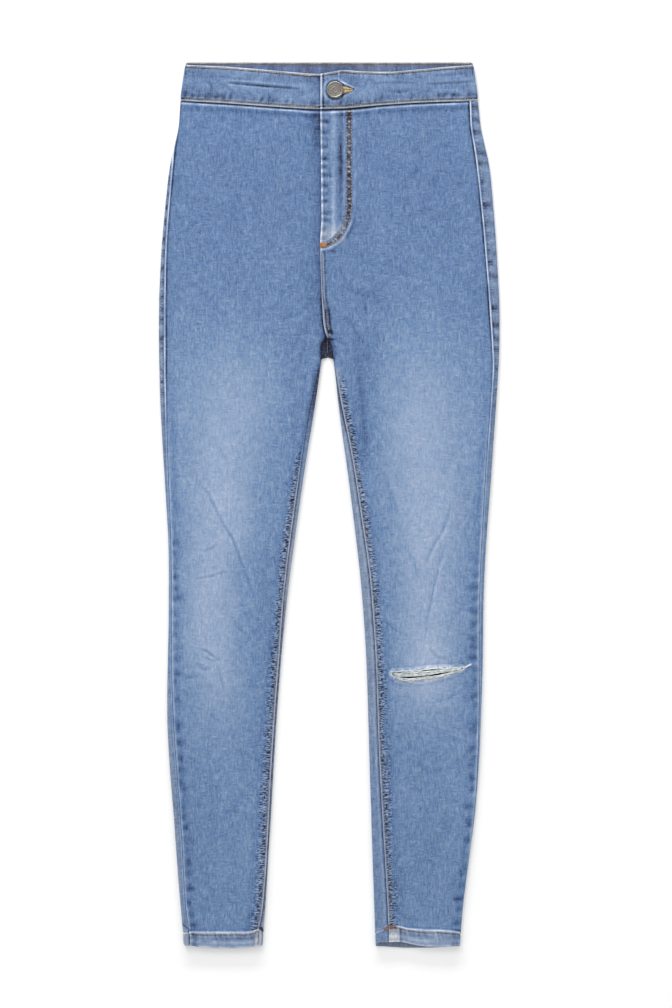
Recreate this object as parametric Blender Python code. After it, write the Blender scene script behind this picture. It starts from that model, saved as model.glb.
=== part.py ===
"""Skinny jeans lying flat, front side up.

X runs across the garment, towards the wearer's left. Y runs up it, from the hems to the waist. Z is up
from the floor that it lies on. The origin is on the floor, under the middle of the whole garment.
Sizes below are in millimetres, and heights along the garment, called up, are measured from its lowest hem.
Each panel is a wall between an outer and an inner surface. Both follow the ring of a flattened leg: the
back panel lies on the floor and wraps round both folds, and the front panel closes the ring on top.
"""

import math

import bpy
import numpy as np

MM = 0.001

# Overall sizes
LENGTH = 1035.5  # lowest hem to the top of the waistband
WAIST_SEAM_UP = 990.0  # where the waistband begins, at the sides
ARCH_UP = 689.0  # top of the arch between the legs
CROSSING_UP = 715.0  # where the crotch seam meets both inseams

# Cloth
WALL = 1.2  # one layer of stretch denim
SEAM_GAP = 0.3
CURVE_SLACK = 0.1  # more room where two straight-sided edges follow one curve
LEG_HALF = 2.4  # half the height of a leg that lies flat
HEM_UP = 15.0  # depth of the turned-up hem
HEM_WALL = 2.2
HEM_HALF = 3.2
BORDER_RAISE = 0.45  # the seam allowances under each side of a seam
BORDER_WIDTH = 7.0
SINK = 0.5  # how far a top layer settles between its two folds

# Waistband
BAND_WALL = 1.8
BAND_HALF = 2.6
BAND_BACK_TOP = LENGTH
BAND_UNDER_TOP = 3.9  # upper face of the underlap, which lies on the back band
BAND_OVER_TOP = 6.0  # upper face of the overlap
UNDERLAP_END = 32.0
OVERLAP_END = -9.1

# Fly
FLY_BOTTOM_UP = 818.0
FLY_WIDTH = 34.0
FLY_LIFT = 0.8  # how far the lapping front is lifted, and the lapped one pressed down
FELL_WIDTH = 7.0  # the double-stitched crotch seam under the fly
FLY_UNDERLAP = 8.0
FELL_UNDERLAP = 5.0
CURL = 2.1  # how far both fronts turn down into the hollow at the crotch

# Button and its hole
BUTTON_ACROSS, BUTTON_UP = 6.8, 1002.4
BUTTON_RADIUS = 10.0
SHANK_RADIUS = 2.3
EYE_RADIUS = 3.1
SLIT_HALF = 0.9
SLIT_END = 27.2

ROWS = (
    [0, HEM_UP, HEM_UP + 4, 50, 85, 120, 155, 190, 225, 260, 290, 310, 325, 340, 355, 375]
    + [395, 410, 425, 440, 455, 470, 485, 500, 515, 530, 550, 575, 600, 630, 655, 675, 683]
    + [ARCH_UP, 696, 703, CROSSING_UP, 728, 735, 760, 790]
    + [FLY_BOTTOM_UP, 828, 850, 880, 905, 920, 935, 960, WAIST_SEAM_UP]
)


def table(names, rows):
    """The rows as one array for each named column."""
    return dict(zip(names.split(), np.array(rows, float).T))


# Edges of the flattened legs and of the hips above them. The insets say how far inside the outline the
# outseam and the inseam show on top, so a small one lies on the fold itself. Above the arch the legs have no
# inner fold, and the inner columns only keep its last place, from which the top layer's sag is measured.
RIGHT = table(
    "up outer outseam_in inner inseam_in",
    [
        (0, -170.9, 7.5, -77.4, 5.3),
        (25, -171.6, 7.0, -76.4, 4.5),
        (60, -174.8, 5.6, -73.7, 2.2),
        (100, -178.0, 7.4, -71.6, 1.8),
        (160, -182.2, 8.0, -67.8, 2.2),
        (220, -187.2, 8.1, -64.4, 2.4),
        (280, -189.6, 6.9, -60.6, 2.2),
        (340, -188.6, 4.3, -56.0, 2.2),
        (390, -187.6, 3.3, -51.2, 3.4),
        (430, -187.5, 3.2, -46.8, 4.0),
        (470, -187.9, 3.0, -41.4, 4.6),
        (510, -190.0, 3.8, -36.0, 4.6),
        (560, -193.1, 5.0, -28.7, 4.8),
        (600, -195.6, 6.2, -22.3, 5.2),
        (640, -197.6, 7.4, -15.7, 4.6),
        (675, -198.6, 7.6, -10.8, 2.0),
        (689, -198.9, 8.0, -9.2, 0.8),
        (715, -199.2, 8.2, -9.2, 0.8),
        (745, -199.2, 8.2, -9.2, 0.8),
        (780, -198.1, 7.4, -9.2, 0.8),
        (820, -195.9, 6.4, -9.2, 0.8),
        (860, -192.4, 5.6, -9.2, 0.8),
        (900, -188.2, 4.8, -9.2, 0.8),
        (920, -185.4, 3.8, -9.2, 0.8),
        (935, -181.4, 1.4, -9.2, 0.8),
        (960, -175.8, 0.2, -9.2, 0.8),
        (990, -174.0, 0.4, -9.2, 0.8),
    ],
)
LEFT = table(
    "up outer outseam_in inner inseam_in",
    [
        (0, 153.5, 0.4, 54.1, 15.2),
        (25, 154.2, 0.2, 53.3, 15.6),
        (60, 157.6, 0.2, 52.2, 15.3),
        (100, 163.0, 0.4, 50.8, 14.2),
        (160, 170.5, 1.0, 48.9, 12.6),
        (220, 175.2, 1.9, 47.0, 11.3),
        (280, 177.8, 2.6, 45.3, 10.8),
        (340, 179.4, 4.4, 43.2, 10.9),
        (390, 180.0, 4.8, 40.0, 10.8),
        (430, 181.1, 4.9, 36.8, 10.8),
        (470, 183.3, 5.2, 32.2, 10.2),
        (510, 186.2, 6.0, 27.4, 8.9),
        (560, 189.9, 6.9, 21.1, 7.8),
        (600, 192.6, 6.8, 15.4, 6.0),
        (640, 195.5, 6.8, 10.2, 2.9),
        (675, 197.6, 6.8, 6.6, 1.0),
        (689, 198.5, 7.9, 4.6, 0.8),
        (715, 199.2, 9.9, 4.6, 0.8),
        (745, 199.2, 11.8, 4.6, 0.8),
        (780, 197.6, 12.9, 4.6, 0.8),
        (820, 195.5, 14.0, 4.6, 0.8),
        (860, 192.4, 14.4, 4.6, 0.8),
        (900, 189.0, 15.4, 4.6, 0.8),
        (920, 186.4, 15.1, 4.6, 0.8),
        (935, 182.6, 13.4, 4.6, 0.8),
        (960, 177.0, 12.2, 4.6, 0.8),
        (990, 174.2, 10.3, 4.6, 0.8),
    ],
)
OUTWARD = {"right": -1, "left": 1}
EDGES = {"right": RIGHT, "left": LEFT}

# Where the two fronts meet, from the arch up. At the crossing they part round the hollow.
CENTRE = table(
    "up right left back",
    [
        (689, -9.3, 4.7, -1.4),
        (696, -10.0, 4.4, -1.8),
        (703, -10.3, 3.4, -2.2),
        (715, -2.6, -2.6, -2.6),
        (728, -5.6, -5.6, -3.0),
        (760, -7.6, -7.6, -2.6),
        (800, -9.0, -9.0, -1.6),
        (830, -9.4, -9.4, -1.0),
        (850, -7.6, -7.6, -0.6),
        (990, -7.4, -7.4, 0.0),
    ],
)

# Edges of the waistband: its seam with the fronts, its top, and its folds at the sides.
BAND_EDGES = table(
    "across seam top",
    [
        (-174, 990.0, 1032.4),
        (-110, 986.4, 1029.4),
        (-60, 982.6, 1025.0),
        (-10, 980.2, 1021.6),
        (16, 980.8, 1026.2),
        (34, 982.4, 1024.6),
        (68, 985.4, 1023.8),
        (114, 988.2, 1027.8),
        (174, 990.0, 1032.4),
    ],
)
BAND_SIDES = table(
    "up out",
    [(980, 174.2), (990, 174.1), (1003, 173.5), (1012, 171.6), (1022, 170.2), (1036, 168.0)],
)

# Soft creases pressed into the fronts, as troughs from one point to another.
CREASES = table(
    "x_from up_from x_to up_to half_width depth",
    [
        (-150, 540, -127, 501, 7, 0.6),
        (-127, 501, -104, 454, 7, 0.8),
        (-104, 454, -90, 415, 7, 0.5),
        (-153, 462, -135, 470, 6, 0.5),
        (-155, 432, -125, 439, 6, 0.5),
        (-150, 347, -128, 340, 6, 0.5),
        (-131, 331, -123, 305, 6, 0.4),
        (141, 515, 133, 488, 7, 0.6),
        (133, 488, 113, 450, 7, 0.8),
        (133, 468, 118, 397, 7, 0.7),
    ],
)

# The knee rip in the wearer's left leg.
RIP = table(
    "across lower upper",
    [
        (73.5, 319.4, 322.4),
        (84, 312.2, 324.8),
        (102, 311.4, 326.0),
        (130, 316.0, 328.6),
        (150, 322.0, 329.6),
        (163, 328.0, 330.8),
    ],
)


def read(rows, column, at, key="up"):
    """A column of a table at any place between its rows, on a smooth curve that never overshoots."""
    xs, ys = rows[key], rows[column]
    rise = np.diff(ys) / np.diff(xs)
    slope = np.zeros(len(xs))
    slope[0], slope[-1] = rise[0], rise[-1]
    for i in range(1, len(xs) - 1):
        if rise[i - 1] * rise[i] > 0:
            slope[i] = 2 * rise[i - 1] * rise[i] / (rise[i - 1] + rise[i])
    at = min(max(at, xs[0]), xs[-1])
    i = min(max(int(np.searchsorted(xs, at)) - 1, 0), len(xs) - 2)
    step = xs[i + 1] - xs[i]
    t = (at - xs[i]) / step
    return float(
        ys[i] * (2 * t**3 - 3 * t**2 + 1)
        + ys[i + 1] * (3 * t**2 - 2 * t**3)
        + step * slope[i] * (t**3 - 2 * t**2 + t)
        + step * slope[i + 1] * (t**3 - t**2)
    )


def ramp(value, start, end):
    """0 before start, 1 after end, and smooth between them. End may be the smaller."""
    t = min(max((value - start) / (end - start), 0.0), 1.0)
    return t * t * (3 - 2 * t)


# The ring of a flattened leg, hip or waistband


def fold_point(edge, outward, half, wall, along):
    """The outer and inner point (across, height) of a ring, at a distance along it from the start of a fold.

    A distance below zero is on the top layer. Past the half turn of the fold it is on the bottom one.
    """
    turn_radius = half - wall / 2
    turn = min(max(along / turn_radius, 0.0), math.pi)
    past = max(along - math.pi * turn_radius, 0.0)
    x = edge - outward * half + outward * (min(along, 0.0) - past)
    out, rise = outward * math.sin(turn), math.cos(turn)
    inner_reach = half - wall
    return (x + out * half, half + rise * half), (x + out * inner_reach, half + rise * inner_reach)


def half_turn(half, wall):
    return math.pi * (half - wall / 2)


def seam_along(inset, half, wall):
    """Where a seam that shows this far inside the outline lies along the ring."""
    if inset >= half:
        return half - inset
    return (half - wall / 2) * (math.pi / 2) * (1 - inset / half)


def leg_height(up):
    """Half height and wall of the leg, both larger at the turned-up hem."""
    turned = 1 - ramp(up, HEM_UP, HEM_UP + 4)
    return LEG_HALF + turned * (HEM_HALF - LEG_HALF), WALL + turned * (HEM_WALL - WALL)


def is_leg(up):
    return up < ARCH_UP


# Relief of the top layer


def crease_depth(x, up):
    depth = 0.0
    for x0, up0, x1, up1, half_width, deep in zip(*CREASES.values()):
        run = np.array([x1 - x0, up1 - up0])
        offset = np.array([x - x0, up - up0])
        t = min(max(float(offset @ run) / float(run @ run), 0.0), 1.0)
        away = float(np.linalg.norm(offset - t * run))
        depth += deep * math.exp(-((away / half_width) ** 2))
    return depth


def fly_step(side, x, up):
    """The lapping front is lifted beside the centre line, and the lapped one is pressed down."""
    out = OUTWARD[side] * (x - read(CENTRE, side, up))
    there = ramp(up, CROSSING_UP - 3, CROSSING_UP + 13)
    if side == "right":
        return -FLY_LIFT * there * (1 - ramp(out, 1, 10))
    width = FELL_WIDTH + (FLY_WIDTH - FELL_WIDTH) * ramp(up, FLY_BOTTOM_UP - 4, FLY_BOTTOM_UP + 30)
    return FLY_LIFT * there * (1 - ramp(out, width, width + 10))


def sink(side, x, up):
    """The top layer settles between its folds, most in the middle."""
    edges = EDGES[side]
    outer = read(edges, "outer", up)
    inner = read(edges, "inner", up)
    share = (x - inner) / (outer - inner)
    return -SINK * ramp(share, 0.03, 0.35) * ramp(share, 0.97, 0.65)


def top_relief(side, x, up):
    relief = sink(side, x, up) - crease_depth(x, up)
    return relief + (0.0 if is_leg(up) else fly_step(side, x, up))


def hem_rise(side, x, top):
    """How far the bottom edge lies above the lowest hem. Top is 1 on the top layer and 0 on the floor."""
    if side == "right":
        return 6.0 * abs((x + 122) / 48) ** 3
    bump = math.exp(-(((x - 80) / 20) ** 2))
    return top * (1.6 + 6 * bump) + 3.0 * ((x - 104) / 50) ** 6


def place(side, x, z, up, top):
    """A point of a panel at its place in the garment, with its ends bent to the hem and to the waist seam.

    Top is 1 for a point of the top layer, 0 on the floor, and between them on a fold.
    """
    along = up + (1 - ramp(up, 0, 40)) * hem_rise(side, x, top)
    waist = read(BAND_EDGES, "seam", x, "across") - WAIST_SEAM_UP
    along += top * waist * ramp(up, 880, WAIST_SEAM_UP)
    along -= (SEAM_GAP / 2 + CURVE_SLACK) * ramp(up, WAIST_SEAM_UP - 20, WAIST_SEAM_UP)
    return (x, along, z)


# Meshes


def material(name, colour, roughness, metallic=0.0):
    made = bpy.data.materials.new(name)
    made.use_nodes = True
    shader = made.node_tree.nodes["Principled BSDF"]
    shader.inputs["Base Color"].default_value = (*colour, 1.0)
    shader.inputs["Roughness"].default_value = roughness
    shader.inputs["Metallic"].default_value = metallic
    return made


def add_object(name, points, faces, finish):
    """An object from points in millimetres, with its faces turned outward."""
    mesh = bpy.data.meshes.new(name)
    placed = [(x * MM, (y - LENGTH / 2) * MM, z * MM) for x, y, z in points]
    mesh.from_pydata(placed, [], faces)
    mesh.validate()
    volume = sum(face.center.dot(face.normal) * face.area for face in mesh.polygons)
    if volume < 0:
        mesh.flip_normals()
    mesh.shade_smooth()
    mesh.set_sharp_from_angle(angle=math.radians(50))
    mesh.materials.append(finish)
    made = bpy.data.objects.new(name, mesh)
    bpy.context.scene.collection.objects.link(made)
    return made


def wall(name, outer, inner, finish):
    """A closed wall between two grids of points of the same shape, as rows of columns."""
    rows, columns = len(outer), len(outer[0])
    points = [p for row in outer for p in row] + [p for row in inner for p in row]
    under = rows * columns

    def at(row, column):
        return row * columns + column

    faces = []
    for r in range(rows - 1):
        for c in range(columns - 1):
            quad = [at(r, c), at(r, c + 1), at(r + 1, c + 1), at(r + 1, c)]
            faces.append(quad)
            faces.append([under + i for i in reversed(quad)])
    rim = [at(0, c) for c in range(columns)] + [at(r, columns - 1) for r in range(1, rows)]
    rim += [at(rows - 1, c) for c in range(columns - 2, -1, -1)]
    rim += [at(r, 0) for r in range(rows - 2, 0, -1)]
    for a, b in zip(rim, rim[1:] + rim[:1]):
        faces.append([b, a, under + a, under + b])
    return add_object(name, points, faces, finish)


def prism(name, outline, low, high, finish):
    """An upright prism over an outline of (across, up) points."""
    count = len(outline)
    points = [(x, y, z) for z in (low, high) for x, y in outline]
    faces = [list(range(count))[::-1], list(range(count, 2 * count))]
    for i in range(count):
        j = (i + 1) % count
        faces.append([i, j, count + j, count + i])
    return add_object(name, points, faces, finish)


def cut(target, cutter):
    """Cuts one object out of another. The cutter stays as a hidden wire."""
    cutter.hide_render = True
    cutter.display_type = "WIRE"
    hole = target.modifiers.new(cutter.name, "BOOLEAN")
    hole.operation = "DIFFERENCE"
    hole.solver = "EXACT"
    hole.object = cutter


# Panels

FRONT_OUTER_STEPS = (0, 1.6, 3.6, BORDER_WIDTH, BORDER_WIDTH + 3)
FRONT_INNER_STEPS = (BORDER_WIDTH + 3, BORDER_WIDTH, 2.5, 0)
FRONT_MIDDLE = 7
BACK_MIDDLE = 2
BACK_TURNS = 5
BACK_FLAT_STEP = 2.2


def border(distance):
    """How far the cloth beside a seam is raised by the allowances under it."""
    return BORDER_RAISE * (1 - ramp(distance, BORDER_WIDTH - 1, BORDER_WIDTH + 2))


def underlap(side, up):
    """How far the lapped front reaches under the other, less the seam gap where they only meet."""
    if side == "left" or up < 732:
        return -SEAM_GAP / 2
    reach = FELL_UNDERLAP + (FLY_UNDERLAP - FELL_UNDERLAP) * ramp(up, FLY_BOTTOM_UP, 850)
    return reach


def front_row(side, up):
    """Outer and inner points of a front panel at one height, from its outseam to its inseam or centre."""
    edges, outward = EDGES[side], OUTWARD[side]
    half, wall_here = leg_height(up)
    outer_edge = read(edges, "outer", up)
    seam = seam_along(read(edges, "outseam_in", up), half, wall_here) - SEAM_GAP / 2
    pairs = [
        (*fold_point(outer_edge, outward, half, wall_here, seam - step), step)
        for step in FRONT_OUTER_STEPS
    ]
    ending = []
    curl = CURL * ramp(up, 680, 690) * ramp(up, CROSSING_UP + 6, CROSSING_UP - 8)
    for step in FRONT_INNER_STEPS:
        if is_leg(up):
            inner_edge = read(edges, "inner", up)
            inseam = seam_along(read(edges, "inseam_in", up), half, wall_here) - SEAM_GAP / 2
            a, b = fold_point(inner_edge, -outward, half, wall_here, inseam - step)
        else:
            x = read(CENTRE, side, up) - outward * (underlap(side, up) - step)
            turned_down = curl * (1 - step / FRONT_INNER_STEPS[0]) ** 2
            a = (x, 2 * half - turned_down)
            b = (x, 2 * half - wall_here - turned_down)
        ending.append((a, b, step))
    start_x, end_x = pairs[-1][0][0], ending[0][0][0]
    for k in range(1, FRONT_MIDDLE + 1):
        x = start_x + (end_x - start_x) * k / (FRONT_MIDDLE + 1)
        pairs.append(((x, 2 * half), (x, 2 * half - wall_here), 99))
    outer, inner = [], []
    for (x, z), (inner_x, inner_z), step in pairs + ending:
        top = min(max((z - half) / half, 0.0), 1.0)
        relief = top * top_relief(side, x, up)
        raised = relief + top * border(step) * (1 if up > HEM_UP else 0)
        lapped = not is_leg(up) and abs(x - read(CENTRE, "right", up)) < FLY_UNDERLAP + 4
        outer.append(place(side, x, z + (relief if lapped else raised), up, top))
        inner.append(place(side, inner_x, inner_z + relief, up, top))
    return outer, inner


def back_turn(edge, outward, half, wall_here, start):
    """Points of a back panel from its seam on top, over the fold, to the floor."""
    begin = max(start + 1.0, 0.0)
    alongs = [start, (start + begin) / 2]
    alongs += list(np.linspace(begin, half_turn(half, wall_here), BACK_TURNS))
    return [(*fold_point(edge, outward, half, wall_here, u), u - start) for u in alongs]


def back_row(side, up):
    """Outer and inner points of a back panel at one height, from its outseam round to its inseam or centre."""
    edges, outward = EDGES[side], OUTWARD[side]
    half, wall_here = leg_height(up)
    seam = seam_along(read(edges, "outseam_in", up), half, wall_here) + SEAM_GAP / 2
    pairs = back_turn(read(edges, "outer", up), outward, half, wall_here, seam)
    if is_leg(up):
        inseam = seam_along(read(edges, "inseam_in", up), half, wall_here) + SEAM_GAP / 2
        inner_edge = read(edges, "inner", up)
        ending = back_turn(inner_edge, -outward, half, wall_here, inseam)[::-1]
    else:
        centre = read(CENTRE, "back", up) + outward * SEAM_GAP / 2
        flat = [centre + outward * BACK_FLAT_STEP * k for k in range(BACK_TURNS + 1, -1, -1)]
        ending = [((x, 0.0), (x, wall_here), 99) for x in flat]
    start_x, end_x = pairs[-1][0][0], ending[0][0][0]
    for k in range(1, BACK_MIDDLE + 1):
        x = start_x + (end_x - start_x) * k / (BACK_MIDDLE + 1)
        pairs.append(((x, 0.0), (x, wall_here), 99))
    outer, inner = [], []
    for (x, z), (inner_x, inner_z), step in pairs + ending:
        top = min(max((z - half) / half, 0.0), 1.0)
        relief = top * top_relief(side, x, up)
        raised = relief + top * border(step) * (1 if up > HEM_UP else 0)
        outer.append(place(side, x, z + raised, up, top))
        inner.append(place(side, inner_x, inner_z + relief, up, top))
    return outer, inner


def panel(name, side, row_of, finish):
    grid = [row_of(side, up) for up in ROWS]
    return wall(name, [outer for outer, _ in grid], [inner for _, inner in grid], finish)


def rip_cutter(finish):
    across = RIP["across"]
    lower = list(zip(across, RIP["lower"]))
    upper = list(zip(across, RIP["upper"]))[::-1]
    return prism("rip_cutter", lower + upper, 2.2, 8.0, finish)


# Waistband

BAND_SHARES = (0.0, 0.1, 0.5, 0.9, 1.0)  # heights of the band's rows, from its seam to its top
BAND_FOLD_TURNS = 4


def band_side(share, top):
    """Height and fold of the band's side, for a row and a layer."""
    low = WAIST_SEAM_UP + SEAM_GAP / 2
    high = read(BAND_EDGES, "top", 174, "across") * top + BAND_BACK_TOP * (1 - top)
    up = low + (high - low) * share
    return up, read(BAND_SIDES, "out", up)


def band_level(side, x):
    """Upper face of the front band, pressed down to the underlap or lifted to the overlap."""
    if side == "right":
        return 2 * BAND_HALF + (BAND_UNDER_TOP - 2 * BAND_HALF) * ramp(x, -34, OVERLAP_END - 2)
    return 2 * BAND_HALF + (BAND_OVER_TOP - 2 * BAND_HALF) * (1 - ramp(x, 34, 60))


def band_front(name, side, finish):
    """Half of the front band: from the middle of the side fold to its free end at the centre."""
    outward = OUTWARD[side]
    ends = {"right": (-164, -120, -80, -45, -34, -24, -11, 10, UNDERLAP_END)}
    ends["left"] = (164, 130, 100, 74, 60, 50, 40, 34, 16, OVERLAP_END)
    quarter = half_turn(BAND_HALF, BAND_WALL) / 2 - SEAM_GAP / 2
    outer, inner = [], []
    for share in BAND_SHARES:
        outer_row, inner_row = [], []
        for along in np.linspace(quarter, 0, BAND_FOLD_TURNS):
            top = (1 + math.cos(along / (BAND_HALF - BAND_WALL / 2))) / 2
            up, out = band_side(share, top)
            a, b = fold_point(outward * out, outward, BAND_HALF, BAND_WALL, along)
            outer_row.append((a[0], up, a[1]))
            inner_row.append((b[0], up, b[1]))
        for x in ends[side]:
            low = read(BAND_EDGES, "seam", x, "across") + SEAM_GAP / 2
            high = read(BAND_EDGES, "top", x, "across")
            if side == "right" and x > OVERLAP_END - 2:
                high = read(BAND_EDGES, "top", OVERLAP_END - 2, "across")
            up = low + (high - low) * share
            level = band_level(side, x)
            outer_row.append((x, up, level))
            inner_row.append((x, up, level - BAND_WALL))
        outer.append(outer_row)
        inner.append(inner_row)
    return wall(name, outer, inner, finish)


def band_back(finish):
    """The back band: flat on the floor, turned up at both sides to the middle of the folds."""
    whole = half_turn(BAND_HALF, BAND_WALL)
    quarter = whole / 2 + SEAM_GAP / 2
    outer, inner = [], []
    for share in BAND_SHARES:
        outer_row, inner_row = [], []
        for outward in (-1, 1):
            turned = []
            for along in np.linspace(quarter, whole, BAND_FOLD_TURNS):
                top = (1 + math.cos(along / (BAND_HALF - BAND_WALL / 2))) / 2
                up, out = band_side(share, top)
                a, b = fold_point(outward * out, outward, BAND_HALF, BAND_WALL, along)
                turned.append(((a[0], up, a[1]), (b[0], up, b[1])))
            if outward > 0:
                up, _ = band_side(share, 0.0)
                for x in (-85, 0, 85):
                    outer_row.append((x, up, 0.0))
                    inner_row.append((x, up, BAND_WALL))
                turned.reverse()
            outer_row += [a for a, _ in turned]
            inner_row += [b for _, b in turned]
        outer.append(outer_row)
        inner.append(inner_row)
    return wall("waistband_back", outer, inner, finish)


def buttonhole_cutter(finish):
    """A keyhole: a round eye for the button's shank and a straight slit away from the edge."""
    meet = math.asin(SLIT_HALF / EYE_RADIUS)
    outline = [
        (BUTTON_ACROSS + EYE_RADIUS * math.cos(a), BUTTON_UP + EYE_RADIUS * math.sin(a))
        for a in np.linspace(meet, 2 * math.pi - meet, 14)
    ]
    outline += [(SLIT_END, BUTTON_UP - SLIT_HALF), (SLIT_END, BUTTON_UP + SLIT_HALF)]
    return prism("buttonhole_cutter", outline, 4.02, 7.0, finish)


# Small parts


def button(finish):
    """A turned shank button: the cap's ringed face, its rim, and the shank down to the underlap."""
    base = BAND_UNDER_TOP + SEAM_GAP
    seat = BAND_OVER_TOP + SEAM_GAP
    profile = [
        (0.0, base),
        (SHANK_RADIUS, base),
        (SHANK_RADIUS, seat + 0.3),
        (BUTTON_RADIUS - 2.0, seat),
        (BUTTON_RADIUS - 0.5, seat + 0.3),
        (BUTTON_RADIUS, seat + 1.1),
        (BUTTON_RADIUS - 0.4, seat + 1.9),
        (BUTTON_RADIUS - 1.4, seat + 2.3),
        (BUTTON_RADIUS - 2.4, seat + 2.1),
        (BUTTON_RADIUS - 3.0, seat + 1.7),
        (BUTTON_RADIUS - 5.5, seat + 1.8),
        (0.0, seat + 1.9),
    ]
    sides = 24
    points, faces = [], []
    for radius, height in profile[1:-1]:
        for k in range(sides):
            angle = 2 * math.pi * k / sides
            x = BUTTON_ACROSS + radius * math.cos(angle)
            y = BUTTON_UP + radius * math.sin(angle)
            points.append((x, y, height))
    rings = len(profile) - 2
    for r in range(rings - 1):
        for k in range(sides):
            n = (k + 1) % sides
            faces.append([r * sides + k, r * sides + n, (r + 1) * sides + n, (r + 1) * sides + k])
    points += [(BUTTON_ACROSS, BUTTON_UP, profile[0][1]), (BUTTON_ACROSS, BUTTON_UP, profile[-1][1])]
    last = (rings - 1) * sides
    for k in range(sides):
        n = (k + 1) % sides
        faces.append([n, k, rings * sides])
        faces.append([last + k, last + n, rings * sides + 1])
    return add_object("button", points, faces, finish)


def zip_fastener(finish):
    """The closed zip behind the fly: a flat tape with a raised chain, between the two layers."""
    middle, tape_half, chain_half = 8.0, 12.0, 2.5
    tape_low = WALL + SEAM_GAP
    tape_high, chain_high = tape_low + 0.7, tape_low + 1.9
    section = [
        (-tape_half, tape_low),
        (tape_half, tape_low),
        (tape_half, tape_high),
        (chain_half, tape_high),
        (chain_half, chain_high),
        (-chain_half, chain_high),
        (-chain_half, tape_high),
        (-tape_half, tape_high),
    ]
    count = len(section)
    ends = (FLY_BOTTOM_UP + 6, WAIST_SEAM_UP - 14)
    points = [(middle + x, up, z) for up in ends for x, z in section]
    faces = [list(range(count)), list(range(count, 2 * count))[::-1]]
    for i in range(count):
        j = (i + 1) % count
        faces.append([j, i, count + i, count + j])
    return add_object("zip", points, faces, finish)


def clear_scene():
    for old in list(bpy.data.objects):
        bpy.data.objects.remove(old, do_unlink=True)


def main():
    clear_scene()
    denim = {
        name: material(name, colour, 0.85)
        for name, colour in {
            "denim_front_right": (0.16, 0.27, 0.46),
            "denim_front_left": (0.18, 0.29, 0.48),
            "denim_back_right": (0.13, 0.22, 0.40),
            "denim_back_left": (0.12, 0.21, 0.38),
            "denim_band_front_right": (0.15, 0.26, 0.45),
            "denim_band_front_left": (0.17, 0.28, 0.46),
            "denim_band_back": (0.13, 0.20, 0.33),
        }.items()
    }
    brass = material("antique_brass", (0.27, 0.22, 0.17), 0.4, 1.0)
    tape = material("zip_tape", (0.10, 0.15, 0.26), 0.7)
    guide = material("cutter_guide", (0.8, 0.1, 0.1), 0.5)

    panel("back_right", "right", back_row, denim["denim_back_right"])
    panel("back_left", "left", back_row, denim["denim_back_left"])
    panel("front_right", "right", front_row, denim["denim_front_right"])
    front_left = panel("front_left", "left", front_row, denim["denim_front_left"])
    cut(front_left, rip_cutter(guide))
    band_back(denim["denim_band_back"])
    band_front("waistband_front_right", "right", denim["denim_band_front_right"])
    overlap = band_front("waistband_front_left", "left", denim["denim_band_front_left"])
    cut(overlap, buttonhole_cutter(guide))
    zip_fastener(tape)
    button(brass)


main()
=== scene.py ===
# %% [markdown]
# # Faded skinny jeans, laid flat
# This lesson dresses a plain CAD model of a pair of jeans. The CAD solids give the true outline of every
# panel, and here each one gets a fine cloth shell in its place, with seams, puckers, creases, fades, a
# ripped knee and thread. The first cell loads the solids and keeps their box, which nothing may outgrow.

# %% Load the frame
import math
from types import SimpleNamespace

import bpy
import numpy as np
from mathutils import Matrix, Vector
from mathutils.bvhtree import BVHTree


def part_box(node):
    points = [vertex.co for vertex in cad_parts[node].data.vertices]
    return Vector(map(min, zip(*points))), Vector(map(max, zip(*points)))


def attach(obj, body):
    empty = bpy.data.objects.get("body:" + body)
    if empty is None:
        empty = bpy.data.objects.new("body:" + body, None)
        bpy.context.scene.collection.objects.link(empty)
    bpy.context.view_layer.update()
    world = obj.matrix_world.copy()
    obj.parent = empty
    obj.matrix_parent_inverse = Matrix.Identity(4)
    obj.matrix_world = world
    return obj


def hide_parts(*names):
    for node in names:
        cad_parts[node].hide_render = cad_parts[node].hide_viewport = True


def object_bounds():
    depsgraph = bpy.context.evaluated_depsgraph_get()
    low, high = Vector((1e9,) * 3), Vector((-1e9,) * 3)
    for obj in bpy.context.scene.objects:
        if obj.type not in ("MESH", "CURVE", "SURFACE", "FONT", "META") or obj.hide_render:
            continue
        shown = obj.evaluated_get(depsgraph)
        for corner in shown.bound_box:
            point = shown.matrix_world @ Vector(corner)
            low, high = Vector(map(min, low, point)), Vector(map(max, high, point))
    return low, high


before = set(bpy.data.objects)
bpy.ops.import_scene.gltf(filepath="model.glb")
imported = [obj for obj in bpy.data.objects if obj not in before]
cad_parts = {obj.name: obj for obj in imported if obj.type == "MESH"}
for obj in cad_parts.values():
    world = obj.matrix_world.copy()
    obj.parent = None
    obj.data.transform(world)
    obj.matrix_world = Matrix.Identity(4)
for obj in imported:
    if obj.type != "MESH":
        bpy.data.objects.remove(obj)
cad_low, cad_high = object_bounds()
MM = 0.001  # the cloth is worked out in millimetres, and Blender's unit is the metre
LENGTH = (cad_high.y - cad_low.y) / MM
print("garment", round((cad_high.x - cad_low.x) / MM, 1), "by", round(LENGTH, 1), "mm")

# %% [markdown]
# ## Three small tools
# Worn cloth is never even, so most shapes below are a few soft steps and bells, made uneven by a slow
# random drift. Blender has a noise function too, but arrays of numbers are quicker for whole panels.

# %% Soft steps, bells and drift


def smooth_step(value, start, end):
    """0 before start, 1 after end and smooth between them. End may be the smaller."""
    t = np.clip((value - start) / (end - start), 0, 1)
    return t * t * (3 - 2 * t)


def bell(value, centre, width):
    """A soft hump of height 1 round the centre."""
    return np.exp(-(((value - centre) / width) ** 2))


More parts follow.
